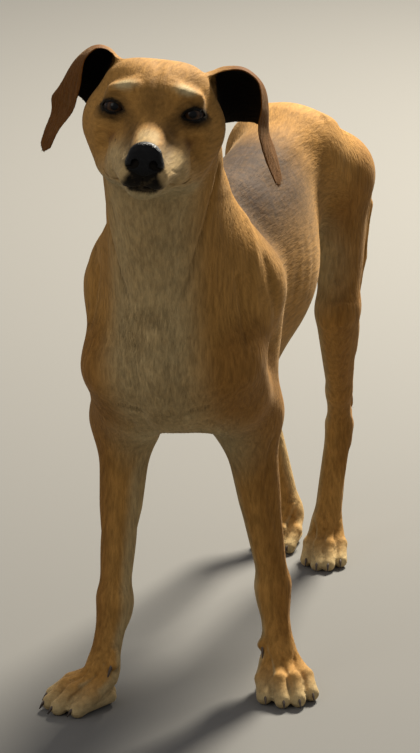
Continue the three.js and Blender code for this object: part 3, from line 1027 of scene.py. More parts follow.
@dataclass
class Skin:
    """One skin over the whole dog, inside the coat's tips, with its folds. In mm.

    The bridges are how far the nodes' copies grow, so that neighbours meet before they are made one lump.
    """

    voxel: float = 2.7
    bridge: float = 0.5
    ear_bridge: float = 1.0
    body_depth: float = 2.0
    ear_depth: float = 0.55

    def coat_depth(self, p: Points) -> Values:
        """How deep the skin lies under the coat's tips at each place, in mm.

        Args:
            p: The places.

        Returns:
            The depths.
        """
        local = HEAD.local(p)
        x, y, z = np.abs(local[:, 0]), local[:, 1], local[:, 2]
        head, paw = fade(70, 130, lengths(local - vec(0, 10, -15))), fade(60, 140, p[:, 2])
        depth = self.body_depth - 0.9 * np.maximum(head, paw) - 0.5 * fade(-50, -10, y) * head
        flap = smooth(46, 60, x) * smooth(16, 30, y) * smooth(-85, -72, z) * fade(165, 185, lengths(local))
        return depth + flap * (self.ear_depth - depth)

    def joined_nodes(self) -> Piece:
        """The flesh nodes' copies as one watertight lump of small squares.

        Returns:
            The lump, in the frame.
        """
        whole = bmesh.new()
        for name in FLESH_NODES + FILLING_NODES:
            part = node_copy(name)
            part.normal_update()
            grow = (self.ear_bridge if name.startswith("ear") else self.bridge) * MM
            for v in part.verts:
                v.co += v.normal * grow
            copy = bpy.data.meshes.new("part")
            part.to_mesh(copy)
            part.free()
            whole.from_mesh(copy)
            bpy.data.meshes.remove(copy)
        piece = new_piece("dog_skin", whole)
        make_lump(piece, self.voxel)
        return piece

    def settle(self, p: Points, flesh: Flesh, rounds: int) -> Points:
        """Moves places onto the skin's surface and keeps them above the floor.

        Args:
            p: Places near the skin.
            flesh: The whole dog's flesh.
            rounds: How many steps to take.

        Returns:
            The places on the skin.
        """
        depth = self.coat_depth(p)

        def field_of(places: Points) -> Measure:
            """Measures from the skin, with the masses near these places looked up once."""
            near = flesh.near(places)
            return lambda q: flesh.distance(q, near) + depth

        p = settle_on(p, field_of, rounds)
        p[:, 2] = np.maximum(p[:, 2], FLOOR_GAP)
        return p

    @staticmethod
    def relax(piece: Piece, p: Points, amount: float) -> Points:
        """Evens out the spacing of a mesh's places.

        Args:
            piece: The mesh's object, for its edges.
            p: The places.
            amount: How far each place goes towards the middle of its neighbours, 0 to 1.

        Returns:
            The new places.
        """
        edges = np.empty(len(piece.data.edges) * 2, np.int32)
        piece.data.edges.foreach_get("vertices", edges)
        a, b = edges.reshape(-1, 2).T
        count = np.bincount(a, minlength=len(p)) + np.bincount(b, minlength=len(p))
        middle = np.stack(
            [np.bincount(a, p[b, k], len(p)) + np.bincount(b, p[a, k], len(p)) for k in range(3)], axis=1
        ) / np.maximum(count, 1)[:, None]
        return p + amount * (middle - p)

    @staticmethod
    def refine(piece: Piece, fine: np.ndarray) -> None:
        """Splits the squares whose corners all lie where finer skin is wanted.

        Args:
            piece: The skin.
            fine: True at each corner where finer skin is wanted.
        """
        shape = bmesh.new()
        shape.from_mesh(piece.data)
        edges = [e for e in shape.edges if fine[e.verts[0].index] and fine[e.verts[1].index]]
        bmesh.ops.subdivide_edges(shape, edges=edges, cuts=1, use_grid_fill=True)
        crowded = [f for f in shape.faces if len(f.verts) > 4]
        bmesh.ops.triangulate(shape, faces=crowded)
        shape.to_mesh(piece.data)
        shape.free()

    @staticmethod
    def fine_regions(p: Points, level: int) -> np.ndarray:
        """Where the skin is split once more.

        Args:
            p: Places of the skin.
            level: 0 for the face, feet and ears, 1 for the nose and mouth, 2 for the lids.

        Returns:
            True at each place to be split.
        """
        local = HEAD.local(p)
        x, y, z = np.abs(local[:, 0]), local[:, 1], local[:, 2]
        if level == 2:
            near = np.full(len(p), np.inf)
            for s in SIDES:
                a, b, w = Lids(s).coordinates(local)
                near = np.minimum(near, np.where(w > 0, np.abs(Lids(s).outside_opening(a, b)), np.inf))
            return near < 2.5
        eyes = np.minimum(*(lengths(local - EYE.centre(s)) for s in SIDES))
        if level == 0:
            face = (y < 24) & (x < 62) & (z > -92)
            flaps = (x > 50) & (z > -62) & (y < 115) & (y > 26)
            return face | flaps | (p[:, 2] < 48) | (eyes < 26)
        lips = (y < -2) & (z < -50) & (z > -80) & (x < 52)
        return (eyes < 20) | lips | (y < -78) & (z > -84)

    def build(self) -> Piece:
        """Makes the skin's mesh.

        Returns:
            The skin, in the frame, with its own unwrap.
        """
        piece = self.joined_nodes()
        flesh = whole_flesh()
        p = self.settle(read_places(piece.data), flesh, 3)
        for _ in range(2):
            p = self.settle(self.relax(piece, p, 0.5), flesh, 1)
        for level in range(3):
            write_places(piece.data, p)
            self.refine(piece, self.fine_regions(p, level))
            p = read_places(piece.data)
            p = self.settle(self.relax(piece, p, 0.5), flesh, 2)
        for side in SIDES:
            p = Lids(side).open_up(p)
        write_places(piece.data, p)
        self.fold(piece)
        self.thin_out(piece)
        self.unwrap(piece)
        return piece

    @staticmethod
    def thin_out(piece: Piece) -> None:
        """Takes faces away where the skin is smooth, until it has as many as one piece may.

        Args:
            piece: The skin.
        """
        faces = sum(len(f.vertices) - 2 for f in piece.data.polygons)
        fewer = piece.modifiers.new("fewer", "DECIMATE")
        fewer.ratio = min(1.0, MOST_FACES / faces)
        fewer.use_collapse_triangulate = True
        apply_modifiers(piece)
        piece.data.shade_smooth()

    @staticmethod
    def unwrap(piece: Piece) -> None:
        """Unwraps the skin over its own shape.

        Args:
            piece: The skin.
        """
        piece.data.uv_layers.new(name="OFBake")
        bpy.ops.object.select_all(action="DESELECT")
        piece.select_set(True)
        bpy.context.view_layer.objects.active = piece
        bpy.ops.object.mode_set(mode="EDIT")
        bpy.ops.mesh.select_all(action="SELECT")
        bpy.ops.uv.smart_project(angle_limit=math.radians(72), island_margin=0.001, area_weight=0.0)
        bpy.ops.object.mode_set(mode="OBJECT")

    @staticmethod
    def fold(piece: Piece) -> None:
        """Presses the folds and creases into the skin.

        Args:
            piece: The skin.
        """
        p = read_places(piece.data)
        normals = read_normals(piece.data)
        tree = BVHTree.FromPolygons(p.tolist(), [tuple(f.vertices) for f in piece.data.polygons])
        sink = sum(crease.sink(p, tree) for crease in CREASES + body_creases() + leg_creases())
        p -= sink[:, None] * normals
        p[:, 2] = np.maximum(p[:, 2], FLOOR_GAP)
        write_places(piece.data, p)


CREASES: tuple[Crease, ...] = (
    # lips, from the middle of the muzzle to the corner of the mouth
    Crease(((0, -93, -66), (9, -91, -68), (18, -81, -69), (26, -50, -70), (31, -34, -69), (35, -22, -66),
            (37, -14, -62), (38, -8, -57)), 1.5, 2.8, fade=0.04),
    # groove down the middle of the upper lip
    Crease(((0, -100, -54), (0, -97, -60), (0, -94, -66)), 1.3, 1.4, mirrored=False),
    # fold over the upper lid, and the bag under the lower one
    Crease(((20, -14, 3), (29, -13, 8.5), (38, -11, 10), (47, -4, 7)), 2.2, 0.9),
    Crease(((24, -16, -10), (33, -14, -13), (43, -8, -11)), 2.0, 0.7),
    # brows, and the furrows between them
    Crease(((17, -14, 21), (26, -12, 23), (36, -7, 21), (46, 2, 13)), 5.5, -1.6),
    Crease(((27, -17, 12), (38, -12, 12), (48, -1, 6)), 3.5, 0.6),
    Crease(((8, -20, 16), (11, -12, 27), (17, -2, 36)), 4.0, 0.8),
    Crease(((0, -34, -4), (0, -20, 16), (0, -4, 31), (0, 12, 42), (0, 40, 46)), 5.0, 1.3, mirrored=False),
    # hollows beside the bridge of the nose, and below the cheekbone
    Crease(((15, -34, -20), (15, -58, -32), (13, -82, -42)), 5.0, 2.0),
    Crease(((49, 0, -20), (46, -8, -38), (42, -8, -54)), 7.0, 1.5),
    # rows of the whiskers
    Crease(((20, -80, -48), (29, -56, -50), (34, -34, -50)), 1.3, 0.5),
    Crease(((19, -82, -55), (28, -60, -58), (33, -38, -58)), 1.3, 0.5),
)
LIP_LINE = CREASES[0]


def body_creases() -> tuple[Crease, ...]:
    """The grooves and ridges that muscle, bone and loose skin make on the neck and trunk.

    Returns:
        The creases.
    """
    ribs = tuple(
        ((66, 92 + 24 * k, 446), (72, 76 + 24 * k, 404), (64, 60 + 24 * k, 356)) for k in range(6)
    )
    lines = (
        # side of the neck, its vein, and the shoulder blade's two edges
        (((54, -66, 586), (53, -78, 556), (46, -92, 515), (36, -99, 474), (26, -99, 436)), 4.5, 3.2),
        (((34, -112, 560), (32, -112, 500), (28, -108, 440)), 5.0, 1.2),
        (((66, -44, 470), (72, -40, 430), (76, -46, 390)), 4.5, 2.0),
        (((30, 14, 506), (62, -10, 462), (76, -20, 410)), 9.0, -2.2),
        (((70, 8, 478), (80, 6, 440), (82, 14, 405), (76, 30, 360)), 7.0, 2.4),
        # chest: breastbone between its muscles, and the folds before the legs
        (((-4, -106, 430), (-4, -90, 380), (-4, -62, 330)), 8.0, -2.4),
        (((20, -98, 420), (22, -84, 375), (22, -60, 330), (22, -20, 298)), 7.0, 2.2),
        (((50, -68, 330), (33, -74, 327), (18, -74, 320)), 3.2, 2.0),
        (((36, -56, 318), (42, -24, 298), (32, 34, 262)), 3.5, 2.4),
        # flank, hip bone and the edge of the loin
        (((50, 350, 330), (50, 318, 366), (46, 282, 404)), 9.0, 3.2),
        (((30, 346, 512), (38, 366, 500)), 11.0, -2.4),
        (((38, 150, 492), (40, 230, 496), (38, 310, 500)), 10.0, 1.8),
    )
    creases = [Crease(line, width, depth, on_head=False) for line, width, depth in lines]
    creases += [Crease(line, 5.0, 0.5, on_head=False) for line in ribs]
    single = (
        (((12, -100, 392), (12, -90, 352), (6, -72, 316)), 2.6, 2.2),
        (((-4, 60, 520), (-5, 200, 512), (-6, 330, 528)), 8.0, 1.0),
    )
    creases += [Crease(*crease, on_head=False, mirrored=False) for crease in single]
    return tuple(creases)


def leg_creases() -> tuple[Crease, ...]:
    """The grooves and ridges of the legs and paws: muscles, tendons and the gaps between the toes.

    Returns:
        The creases.
    """
    creases = []

    def press(places: list[Points], width: float, depth: float) -> None:
        """Adds one groove or ridge."""
        creases.append(Crease(tuple(tuple(p) for p in places), width, depth, on_head=False, mirrored=False))

    for leg in FORELEGS:
        s, elbow, wrist, knuckle = leg.side, leg.middle, leg.ankle, leg.knuckle
        press([elbow + vec(s * 22, -16, 0), elbow + vec(s * 18, -14, -60), wrist + vec(s * 12, -6, 46)],
              4.5, 1.7)
        press([elbow + vec(s * -16, 10, -40), wrist + vec(s * -12, 4, 50)], 4.0, 1.6)
        press([elbow + vec(s * 8, 26, 8), elbow + vec(s * 4, 26, -8)], 8.0, -2.6)
        press([wrist + vec(0, -17, 26), wrist + vec(0, -16, 0), knuckle + vec(0, -13, 8)], 3.0, -0.7)
        press([wrist + vec(s * 13, 6, 4), knuckle + vec(s * 13, 6, 20)], 4.0, 1.5)
    for leg in HINDLEGS:
        s, stifle, hock = leg.side, leg.middle, leg.ankle
        for way in SIDES:
            press([stifle + vec(way * 16, 40, -56), (stifle + hock) / 2 + vec(way * 12, 14, 0),
                   hock + vec(way * 10, 6, 22)], 5.0, 3.0)
        press([vec(leg.top[0] + s * 34, 432, 424), stifle + vec(s * 22, 56, 50),
               stifle + vec(s * 20, 46, -10)], 7.0, 2.6)
        press([stifle + vec(s * 14, -24, 20), stifle + vec(s * 14, -22, -14)], 10.0, -2.0)
        press([hock + vec(s * 12, 0, -24), leg.knuckle + vec(s * 11, 4, 22)], 3.5, 1.4)
    for legs, size in ((FORELEGS, FORE_PAW), (HINDLEGS, HIND_PAW)):
        for leg in legs:
            paw = Paw(leg, size)
            for gap in (-1, 0, 1):
                x = gap * size.spread
                press([paw.at(x * 0.6, -6, 33), paw.at(x * 0.9, 30 - size.reach, 25),
                       paw.at(x, 10 - size.reach, 13)], 2.0, 2.0)
                press([paw.at(x * 0.5, 2, 44), paw.at(x * 0.7, -14, 31)], 2.4, 0.9)
    return tuple(creases)


# ---- lie of the coat
@dataclass
class Lie:
    """Which way the hair lies: along guides that run over the body from the nose to the tail and toes."""

    softness: float = 14.0

    def guides(self) -> list[Points]:
        """The guides, each a path in the stance's frame.

        Returns:
            The guides.
        """
        x = SPINE_X
        at = HEAD.place
        paths = [
            [at(0, -98, -24), at(0, -40, -6), at(0, 0, 30), at(0, 50, 46), at(0, 84, 26), vec(-4, -20, 560),
             vec(x, 30, 510), vec(x, 200, 506), vec(x - 3, 380, 524), vec(x - 3, 440, 490)],
            [at(0, -88, -78), at(0, -20, -84), at(0, 40, -86), vec(-4, -112, 520), vec(-5, -98, 450),
             vec(-6, -66, 350), vec(x, -20, 290), vec(x, 60, 268), vec(x, 200, 320), vec(x, 330, 366)],
        ]
        for s in SIDES:
            paths += [
                [at(s * 14, -92, -52), at(s * 36, -24, -36), at(s * 50, 30, -24), at(s * 46, 80, -30),
                 vec(x + s * 60, -40, 500), vec(x + s * 74, 0, 440), vec(x + s * 80, 90, 400),
                 vec(x + s * 74, 200, 390), vec(x + s * 62, 330, 420)],
                [at(s * 22, -20, 6), at(s * 38, 4, 16), at(s * 44, 44, 22), at(s * 40, 76, 6)],
                [vec(x + s * 60, -60, 460), vec(x + s * 62, -70, 390), vec(x + s * 58, -40, 330)],
            ]
        for leg in FORELEGS:
            paw = Paw(leg, FORE_PAW)
            top = vec(x + leg.side * 60, 20, 460)
            paths.append([top, leg.top, leg.middle, leg.ankle, paw.at(0, -4, 36), paw.at(0, -60, 8)])
        for leg in HINDLEGS:
            paw = Paw(leg, HIND_PAW)
            hip = leg.top + vec(leg.side * 20, -20, 50)
            stifle, hock = leg.middle, leg.ankle
            paths += [
                [hip, stifle + vec(0, 20, 0), hock, paw.at(0, -4, 34), paw.at(0, -56, 8)],
                [hip + vec(0, 40, -10), stifle + vec(0, 60, 30), hock + vec(0, 14, 30)],
            ]
        paths.append([vec(*p) for p in TAIL_LINE])
        for ear in EARS:
            for column in (4, ear.grid.shape[1] // 2, ear.grid.shape[1] - 5):
                paths.append(list(ear.grid[::12, column]))
        return [np.array(path) for path in paths]

    def at(self, p: Points, normals: Points) -> Points:
        """The lie at places of the skin.

        Args:
            p: The places, in the stance's frame.
            normals: The skin's normals there.

        Returns:
            Directions along the skin, one long.
        """
        total = np.zeros_like(p)
        for path in self.guides():
            for a, b in zip(path[:-1], path[1:]):
                step = b - a
                t = np.clip((p - a) @ step / (step @ step), 0, 1)
                d2 = ((p - a - t[:, None] * step) ** 2).sum(1)
                weight = np.linalg.norm(step) / (d2 + self.softness**2) ** 2.5
                total += weight[:, None] * unit(step)
        total -= (total * normals).sum(1)[:, None] * normals
        return unit(total)


# ---- markings
@dataclass
class Markings:
    """Where the coat is pale, grey-backed, rusty or dark, from 0 to 1, at places of the skin; the pale mark
    holds a painted highlight on the brows and bridge, and the dark mark holds painted shade on the face and
    in the ears.
    """

    places: Points
    normals: Points

    def __post_init__(self) -> None:
        """Finds the places in the head's frame."""
        self.local = HEAD.local(self.places)

    def pale(self) -> Values:
        """Cream hair: throat, chest, belly, insides of the legs, toes and muzzle; on the brows and the top of
        the bridge, pale hair with a painted highlight.

        Returns:
            How pale each place is.
        """
        p, n, local, at = self.places, self.normals, self.local, HEAD.place
        brisket, breast = vec(SPINE_X, -10, 285), vec(-6, -106, 450)
        streaks = (
            (0.66, 27, 66, [at(0, 0, -84), at(0, 36, -88), vec(-3, -120, 520), breast]),
            (0.68, 25, 66, [breast, vec(-8, -90, 390), vec(-6, -58, 330), brisket]),
            (0.85, 30, 85, [brisket, vec(SPINE_X, 80, 268), vec(SPINE_X, 210, 318), vec(SPINE_X, 330, 360)]),
        )
        masks = [share * fade(*reach, along_path(p, line)[0]) for share, *reach, line in streaks]
        for leg in FORELEGS + HINDLEGS:
            line = [leg.middle, leg.ankle, leg.knuckle]
            inward = smooth(0.05, 0.75, -leg.side * n[:, 0] + 0.35 * n[:, 1])
            masks.append((0.7 if leg in FORELEGS else 0.55) * fade(34, 48, along_path(p, line)[0]) * inward)
        masks.append(0.85 * fade(6, 34, p[:, 2]))
        x, y, z = np.abs(local[:, 0]), local[:, 1], local[:, 2]
        out = lengths(local)
        muzzle = fade(-48, 6, y) * fade(-40, -18, z) * smooth(-110, -80, -np.abs(z))
        jaw = fade(10, 60, y) * fade(-72, -56, z) * (out < 150)
        # painted highlight: the top of the bridge just behind the nose, made pale where light falls on it
        bridge = fade(7, 13, x) * fade(-62, -44, y) * smooth(-46, -26, z) * (out < 130)
        masks += [0.62 * muzzle, 0.9 * jaw, 0.6 * bridge]
        # brow spots: pale brow hair with a painted highlight where light falls on the brows
        masks += [0.95 * fade(0.3, 1.4, in_egg(local, vec(s * 29, -8, 22), vec(13, 10, 6))) for s in SIDES]
        return np.maximum.reduce(masks)

    def saddle(self) -> Values:
        """Grey-brown hair over the back and the loin."""
        p = self.places
        return 0.95 * smooth(0, 90, p[:, 1]) * fade(215, 320, p[:, 1]) * smooth(385, 490, p[:, 2])

    def rust(self) -> Values:
        """Red-brown hair: ears, outsides of the legs, shoulders and a spot under each eye.

        Returns:
            How rusty each place is.
        """
        p, n, local = self.places, self.normals, self.local
        masks = [0.8 * fade(0.3, 1.2, in_egg(local, vec(s * 38, -14, -28), vec(9, 12, 10))) for s in SIDES]
        for leg in FORELEGS + HINDLEGS:
            line = [leg.top, leg.middle, leg.ankle]
            outward = smooth(-0.2, 0.7, leg.side * n[:, 0])
            masks.append(0.45 * fade(40, 64, along_path(p, line)[0]) * outward * smooth(10, 60, p[:, 2]))
        mask = np.maximum.reduce(masks)
        for ear in EARS:
            index = ear.close_to(p)
            gap, u, _, _ = ear.nearest(p[index])
            mask[index] = np.maximum(mask[index], fade(3, 6, gap) * smooth(0.0, 0.25, u))
        return mask

    def dark(self) -> Values:
        """Near-black hair and bare skin: round the nose and lips, the lids, a mole, insides of the ears; and
        painted shade between the eyes, in the eye sockets, beside the bridge and inside the ears.

        Returns:
            How dark each place is.
        """
        p, n, local = self.places, self.normals, self.local
        x, y, z = np.abs(local[:, 0]), local[:, 1], local[:, 2]
        down = np.clip((-50 - z) / 18, 0, 1.2)
        lip = fade(0.7, 1.2, x / (14 + 11 * down)) * smooth(-70.5, -67, z) * fade(-86, -74, y)
        # painted shade over the stop between the eyes
        stop = fade(0.3, 1.3, in_egg(local, vec(0, -16, 8), vec(16, 26, 26)))
        leather = fade(0.92, 1.02, in_egg(local, vec(0, -92, -42), vec(19, 15, 17)))
        mole = fade(1.2, 2.4, lengths(local - vec(-32, -27, -29)))
        masks = [0.9 * lip * (lengths(local) < 150), 0.4 * stop, leather, mole]
        for path in LIP_LINE.paths():
            d, t = along_path(p, path)
            masks.append(fade(0.8, 2.8, d) * (1 - 0.2 * t))
        for s in SIDES:
            a, b, w = Lids(s).coordinates(local)
            rim = Lids(s).outside_opening(a, b)
            below = smooth(2, -4, b)
            # dark lid skin, widened into painted shade over the socket under the brow, stronger below the eye
            lid_dark_and_socket_shade = 0.84 * fade(2.0, 16.0, rim) * (0.62 + 0.38 * below)
            # a tear stain with painted shade along the side of the bridge, from the inner corner of the eye
            # to the nose
            beside = [HEAD.place(s * 21, -18, -8), HEAD.place(s * 17, -50, -27), HEAD.place(s * 15, -84, -38)]
            # painted shade in the hollow at the eye's inner corner, with a tear mark
            corner = in_egg(local, EYE.centre(s) + vec(-s * 14, -9, -5), vec(10, 10, 10))
            masks += [
                np.where(w > 0, np.maximum(fade(1.4, 6.4 + 1.8 * below, rim), lid_dark_and_socket_shade), 0),
                0.5 * fade(3, 15, along_path(p, beside)[0]),
                0.9 * fade(0.3, 1.4, corner),
            ]
        mask = np.maximum.reduce(masks)
        for ear in EARS:
            index = ear.close_to(p)
            gap, u, v, normals = ear.nearest(p[index])
            flap = fade(3, 6, gap)
            # the inside of the ear: dark bare skin, darkened further as painted shade in the ear's hollow
            inner = smooth(-0.1, 0.5, -ear.side * (normals * n[index]).sum(1)) * flap
            inner *= 1.4 * smooth(0.01, 0.12, v) * smooth(0.02, 0.1, u) * fade(0.5, 0.8, u)
            # a little painted shade over the whole flap
            mask[index] = np.maximum.reduce([mask[index], inner, 0.1 * flap])
        return mask

    def rows(self) -> Points:
        """All four marks: pale, saddle, rust and dark, one row to a place."""
        return np.stack([self.pale(), self.saddle(), self.rust(), self.dark()], axis=1)


class Carried(Enum):
    """What a mesh can carry at each vertex: the attribute's type and the name of its values."""

    VECTOR = ("FLOAT_VECTOR", "vector")
    COLOUR = ("FLOAT_COLOR", "color")


def add_attribute(piece: Piece, name: str, kind: Carried, values: Points) -> None:
    """Writes one vector or colour to each vertex."""
    layer = piece.data.attributes.new(name, kind.value[0], "POINT")
    layer.data.foreach_set(kind.value[1], values.astype(np.float32).ravel())


# ---- finishes
class Nodes:
    """A short way to lay shader nodes into a tree and join them."""

    def __init__(self, tree: bpy.types.NodeTree) -> None:
        """Keeps the tree."""
        self.tree = tree

    def fill(self, node: bpy.types.Node, inputs: dict[str | int, object]) -> None:
        """Joins sockets to a node's inputs, or sets their values, by name or place.

        Args:
            node: The node.
            inputs: What each input gets.
        """
        for key, value in inputs.items():
            if isinstance(value, Socket):
                self.tree.links.new(value, node.inputs[key])
            else:
                node.inputs[key].default_value = value

    def add(
        self, kind: str, inputs: dict[str | int, object] | None = None, **settings: object
    ) -> bpy.types.Node:
        """Adds a node.

        Args:
            kind: The node's type without its ShaderNode prefix.
            inputs: Values or sockets for its inputs, by name or place.
            **settings: The node's own settings.

        Returns:
            The node.
        """
        node = self.tree.nodes.new("ShaderNode" + kind)
        for name, value in settings.items():
            setattr(node, name, value)
        self.fill(node, inputs or {})
        return node

    def math(self, operation: str, a: Socket, b: Socket | float = 0.0) -> Socket:
        """A sum, product or the like of two values."""
        return self.add("Math", {0: a, 1: b}, operation=operation).outputs[0]

    def mix(self, share: Socket, a: Socket | Colour, b: Socket | Colour) -> Socket:
        """A mix of two colours."""
        a, b = (colour if isinstance(colour, Socket) else (*colour, 1.0) for colour in (a, b))
        return self.add("Mix", {0: share, 6: a, 7: b}, data_type="RGBA").outputs[2]

    def span(
        self, value: Socket, low: float, high: float, out_low: float = 0.0, out_high: float = 1.0
    ) -> Socket:
        """A value stretched from one range to another and kept within it."""
        return self.add("MapRange", {0: value, 1: low, 2: high, 3: out_low, 4: out_high}).outputs[0]

    def place(self) -> Socket:
        """The place on the object, in metres."""
        return self.add("TexCoord").outputs["Object"]

    def noise(self, place: Socket, scale: float, detail: float) -> Socket:
        """A cloudy value at each place."""
        return self.add("TexNoise", {"Vector": place, "Scale": scale, "Detail": detail}).outputs[0]

    def bump(self, height: Socket, strength: float, distance: float) -> Socket:
        """The surface's normals, pushed about by a height."""
        return self.add("Bump", {"Height": height, "Strength": strength, "Distance": distance}).outputs[0]

    def carried(self, name: str) -> bpy.types.bpy_prop_collection:
        """The outputs of an attribute."""
        return self.add("Attribute", attribute_name=name).outputs


def new_group(
    name: str, inputs: dict[str, str], outputs: dict[str, str]
) -> tuple[Nodes, bpy.types.Node, bpy.types.Node]:
    """Starts a shader node group.

    Args:
        name: The group's name.
        inputs: The kinds of its inputs, by name.
        outputs: The kinds of its outputs, by name.

    Returns:
        Its nodes, the node that gives its inputs and the node that takes its outputs.
    """
    tree = bpy.data.node_groups.new(name, "ShaderNodeTree")
    for way, sockets in (("INPUT", inputs), ("OUTPUT", outputs)):
        for socket, kind in sockets.items():
            tree.interface.new_socket(socket, in_out=way, socket_type="NodeSocket" + kind)
    return Nodes(tree), tree.nodes.new("NodeGroupInput"), tree.nodes.new("NodeGroupOutput")


@dataclass(frozen=True)
class CoatColours:
    """The coat's colours, and the group that mixes them by the marks."""

    fawn: Colour = (0.42, 0.213, 0.054)
    cream: Colour = (0.52, 0.405, 0.21)
    back: Colour = (0.045, 0.025, 0.017)
    rust: Colour = (0.16, 0.056, 0.008)
    dark: Colour = (0.006, 0.005, 0.004)

    def group(self) -> bpy.types.NodeTree:
        """The mixing group: marks and a shade for each lock in, colour out.

        Returns:
            The group.
        """
        sockets = {"Marks": "Color", "Dark": "Float", "Shade": "Float"}
        nodes, inside, outside = new_group("coat_colours", sockets, {"Colour": "Color"})
        marks = nodes.add("SeparateColor", {0: inside.outputs["Marks"]}).outputs
        dark, shade = inside.outputs["Dark"], inside.outputs["Shade"]
        place = nodes.place()
        cloud = nodes.noise(place, 22.0, 3.0)
        edge = nodes.math("SUBTRACT", nodes.math("ADD", cloud, nodes.noise(place, 160.0, 2.0)), 1.0)
        edge = nodes.math("MULTIPLY", edge, 0.45)
        colour = self.fawn
        for mask, over in ((marks[1], self.back), (marks[2], self.rust), (marks[0], self.cream)):
            ragged = nodes.math("ADD", mask, nodes.math("MULTIPLY", edge, nodes.math("MULTIPLY", mask, 0.9)))
            colour = nodes.mix(nodes.span(ragged, 0.0, 1.0), colour, over)
        # the dark mark with a ragged edge: dark hair and skin, and painted shade
        dark_and_shade = nodes.math("ADD", dark, nodes.math("MULTIPLY", edge, dark))
        colour = nodes.mix(nodes.span(dark_and_shade, 0.0, 0.95), colour, self.dark)
        light = nodes.math("ADD", nodes.math("MULTIPLY", cloud, 0.34), 0.83)
        light = nodes.math("MULTIPLY", light, shade)
        scaled = nodes.add("VectorMath", {0: colour, "Scale": light}, operation="SCALE")
        nodes.fill(outside, {"Colour": scaled.outputs[0]})
        return nodes.tree


@dataclass(frozen=True)
class HairGrain:
    """The group that makes the fine streaks of a short, flat coat along its lie."""

    name: str = "hair_grain"
    along: float = 90.0
    across: float = 1100.0

    def group(self) -> bpy.types.NodeTree:
        """The streaks: the lie in, a height out.

        Returns:
            The group.
        """
        nodes, inside, outside = new_group(self.name, {"Lie": "Vector"}, {"Height": "Float"})
        place = nodes.place()
        lie = nodes.add("SeparateXYZ", {0: inside.outputs["Lie"]})
        parts, weights = [], []
        for k in range(3):
            scale = [self.across] * 3
            scale[k] = self.along
            spread = nodes.add("Mapping", {"Vector": place, "Scale": scale}).outputs[0]
            weights.append(nodes.math("POWER", nodes.math("ABSOLUTE", lie.outputs[k]), 3.0))
            parts.append(nodes.math("MULTIPLY", nodes.noise(spread, 1.0, 2.0), weights[k]))
        total, weight = (nodes.math("ADD", nodes.math("ADD", a, b), c) for a, b, c in (parts, weights))
        nodes.fill(outside, {"Height": nodes.math("DIVIDE", total, nodes.math("ADD", weight, 0.001))})
        return nodes.tree


def new_material(name: str) -> tuple[bpy.types.Material, Nodes, bpy.types.Node]:
    """Starts a material: the material, its nodes and its Principled shader.

    Args:
        name: The material's name.

    Returns:
        All three.
    """
    material = bpy.data.materials.new(name)
    material.use_nodes = True
    nodes = Nodes(material.node_tree)
    return material, nodes, material.node_tree.nodes["Principled BSDF"]


@dataclass(frozen=True)
class CoatFinish:
    """Skin and hair: the same markings, with the coat's streaks and, on hair, a shade for each lock."""

    colours: bpy.types.NodeTree
    grain: bpy.types.NodeTree
    tufts: bpy.types.NodeTree
    roughness: float = 0.75
    sheen: float = 0.12
    sheen_tint: Colour = (1.0, 0.8, 0.55)
    gloss: float = 0.08
    gloss_tint: Colour = (1.0, 0.85, 0.65)

    def material(self, name: str, on_hair: bool) -> bpy.types.Material:
        """The finish of the skin or of the locks.

        Args:
            name: The material's name.
            on_hair: True for the locks, which have a shade of their own and pale tips.

        Returns:
            The material.
        """
        material, nodes, shader = new_material(name)
        marks, lie = nodes.carried("marks"), nodes.carried("lie")["Vector"]
        streaks, clumps = (
            nodes.add("Group", {"Lie": lie}, node_tree=tree).outputs["Height"]
            for tree in (self.grain, self.tufts)
        )
        if on_hair:
            lock = nodes.add("SeparateColor", {0: nodes.carried("lock")["Color"]}).outputs
            own, along = nodes.span(lock[0], 0, 1, 0.88, 1.12), nodes.span(lock[1], 0, 1, -0.05, 0.05)
            shade = nodes.math("ADD", own, along)
        else:
            shade = nodes.span(streaks, 0.3, 0.7, 0.84, 1.06)
        shade = nodes.math("MULTIPLY", shade, nodes.span(clumps, 0.34, 0.66, 0.81, 1.17))
        mixed = {"Marks": marks["Color"], "Dark": marks["Alpha"], "Shade": shade}
        relief = nodes.math("ADD", nodes.math("MULTIPLY", clumps, 1.6), nodes.math("MULTIPLY", streaks, 0.5))
        nodes.fill(shader, {
            "Base Color": nodes.add("Group", mixed, node_tree=self.colours).outputs["Colour"],
            "Roughness": self.roughness,
            "Sheen Weight": self.sheen,
            "Sheen Roughness": 0.45,
            "Sheen Tint": (*self.sheen_tint, 1.0),
            "Specular IOR Level": self.gloss,
            "Specular Tint": (*self.gloss_tint, 1.0),
            "Normal": nodes.bump(relief, 0.55, 0.0012),
        })
        return material


@dataclass(frozen=True)
class EyeFinish:
    """A wet brown eye, from its pupil out."""

    rings: tuple[tuple[float, Colour], ...] = (
        (0.0, (0.002, 0.002, 0.002)), (0.30, (0.002, 0.002, 0.002)), (0.35, (0.034, 0.016, 0.007)),
        (0.55, (0.062, 0.030, 0.013)), (0.72, (0.026, 0.012, 0.006)), (0.84, (0.004, 0.003, 0.002)),
        (1.05, (0.05, 0.03, 0.022)), (1.6, (0.10, 0.06, 0.045)),
    )

    def material(self) -> bpy.types.Material:
        """The eyeball's finish.

        Returns:
            The material.
        """
        material, nodes, shader = new_material("wet_brown_eye")
        fibre = nodes.span(nodes.noise(nodes.place(), 900.0, 3.0), 0.3, 0.7, -0.03, 0.03)
        angle = nodes.math("ADD", nodes.carried("off_gaze")["Fac"], fibre)
        reach = self.rings[-1][0]
        ramp = nodes.add("ValToRGB", {0: nodes.math("DIVIDE", angle, reach)})
        stops = ramp.color_ramp.elements
        while len(stops) < len(self.rings):
            stops.new(0.5)
        for stop, (edge, colour) in zip(stops, self.rings):
            stop.position = edge / reach
            stop.color = (*colour, 1)
        nodes.fill(shader, {
            "Base Color": ramp.outputs[0], "Roughness": 0.3, "Coat Weight": 0.16, "Coat Roughness": 0.08,
            "Specular IOR Level": 0.12,
        })
        return material


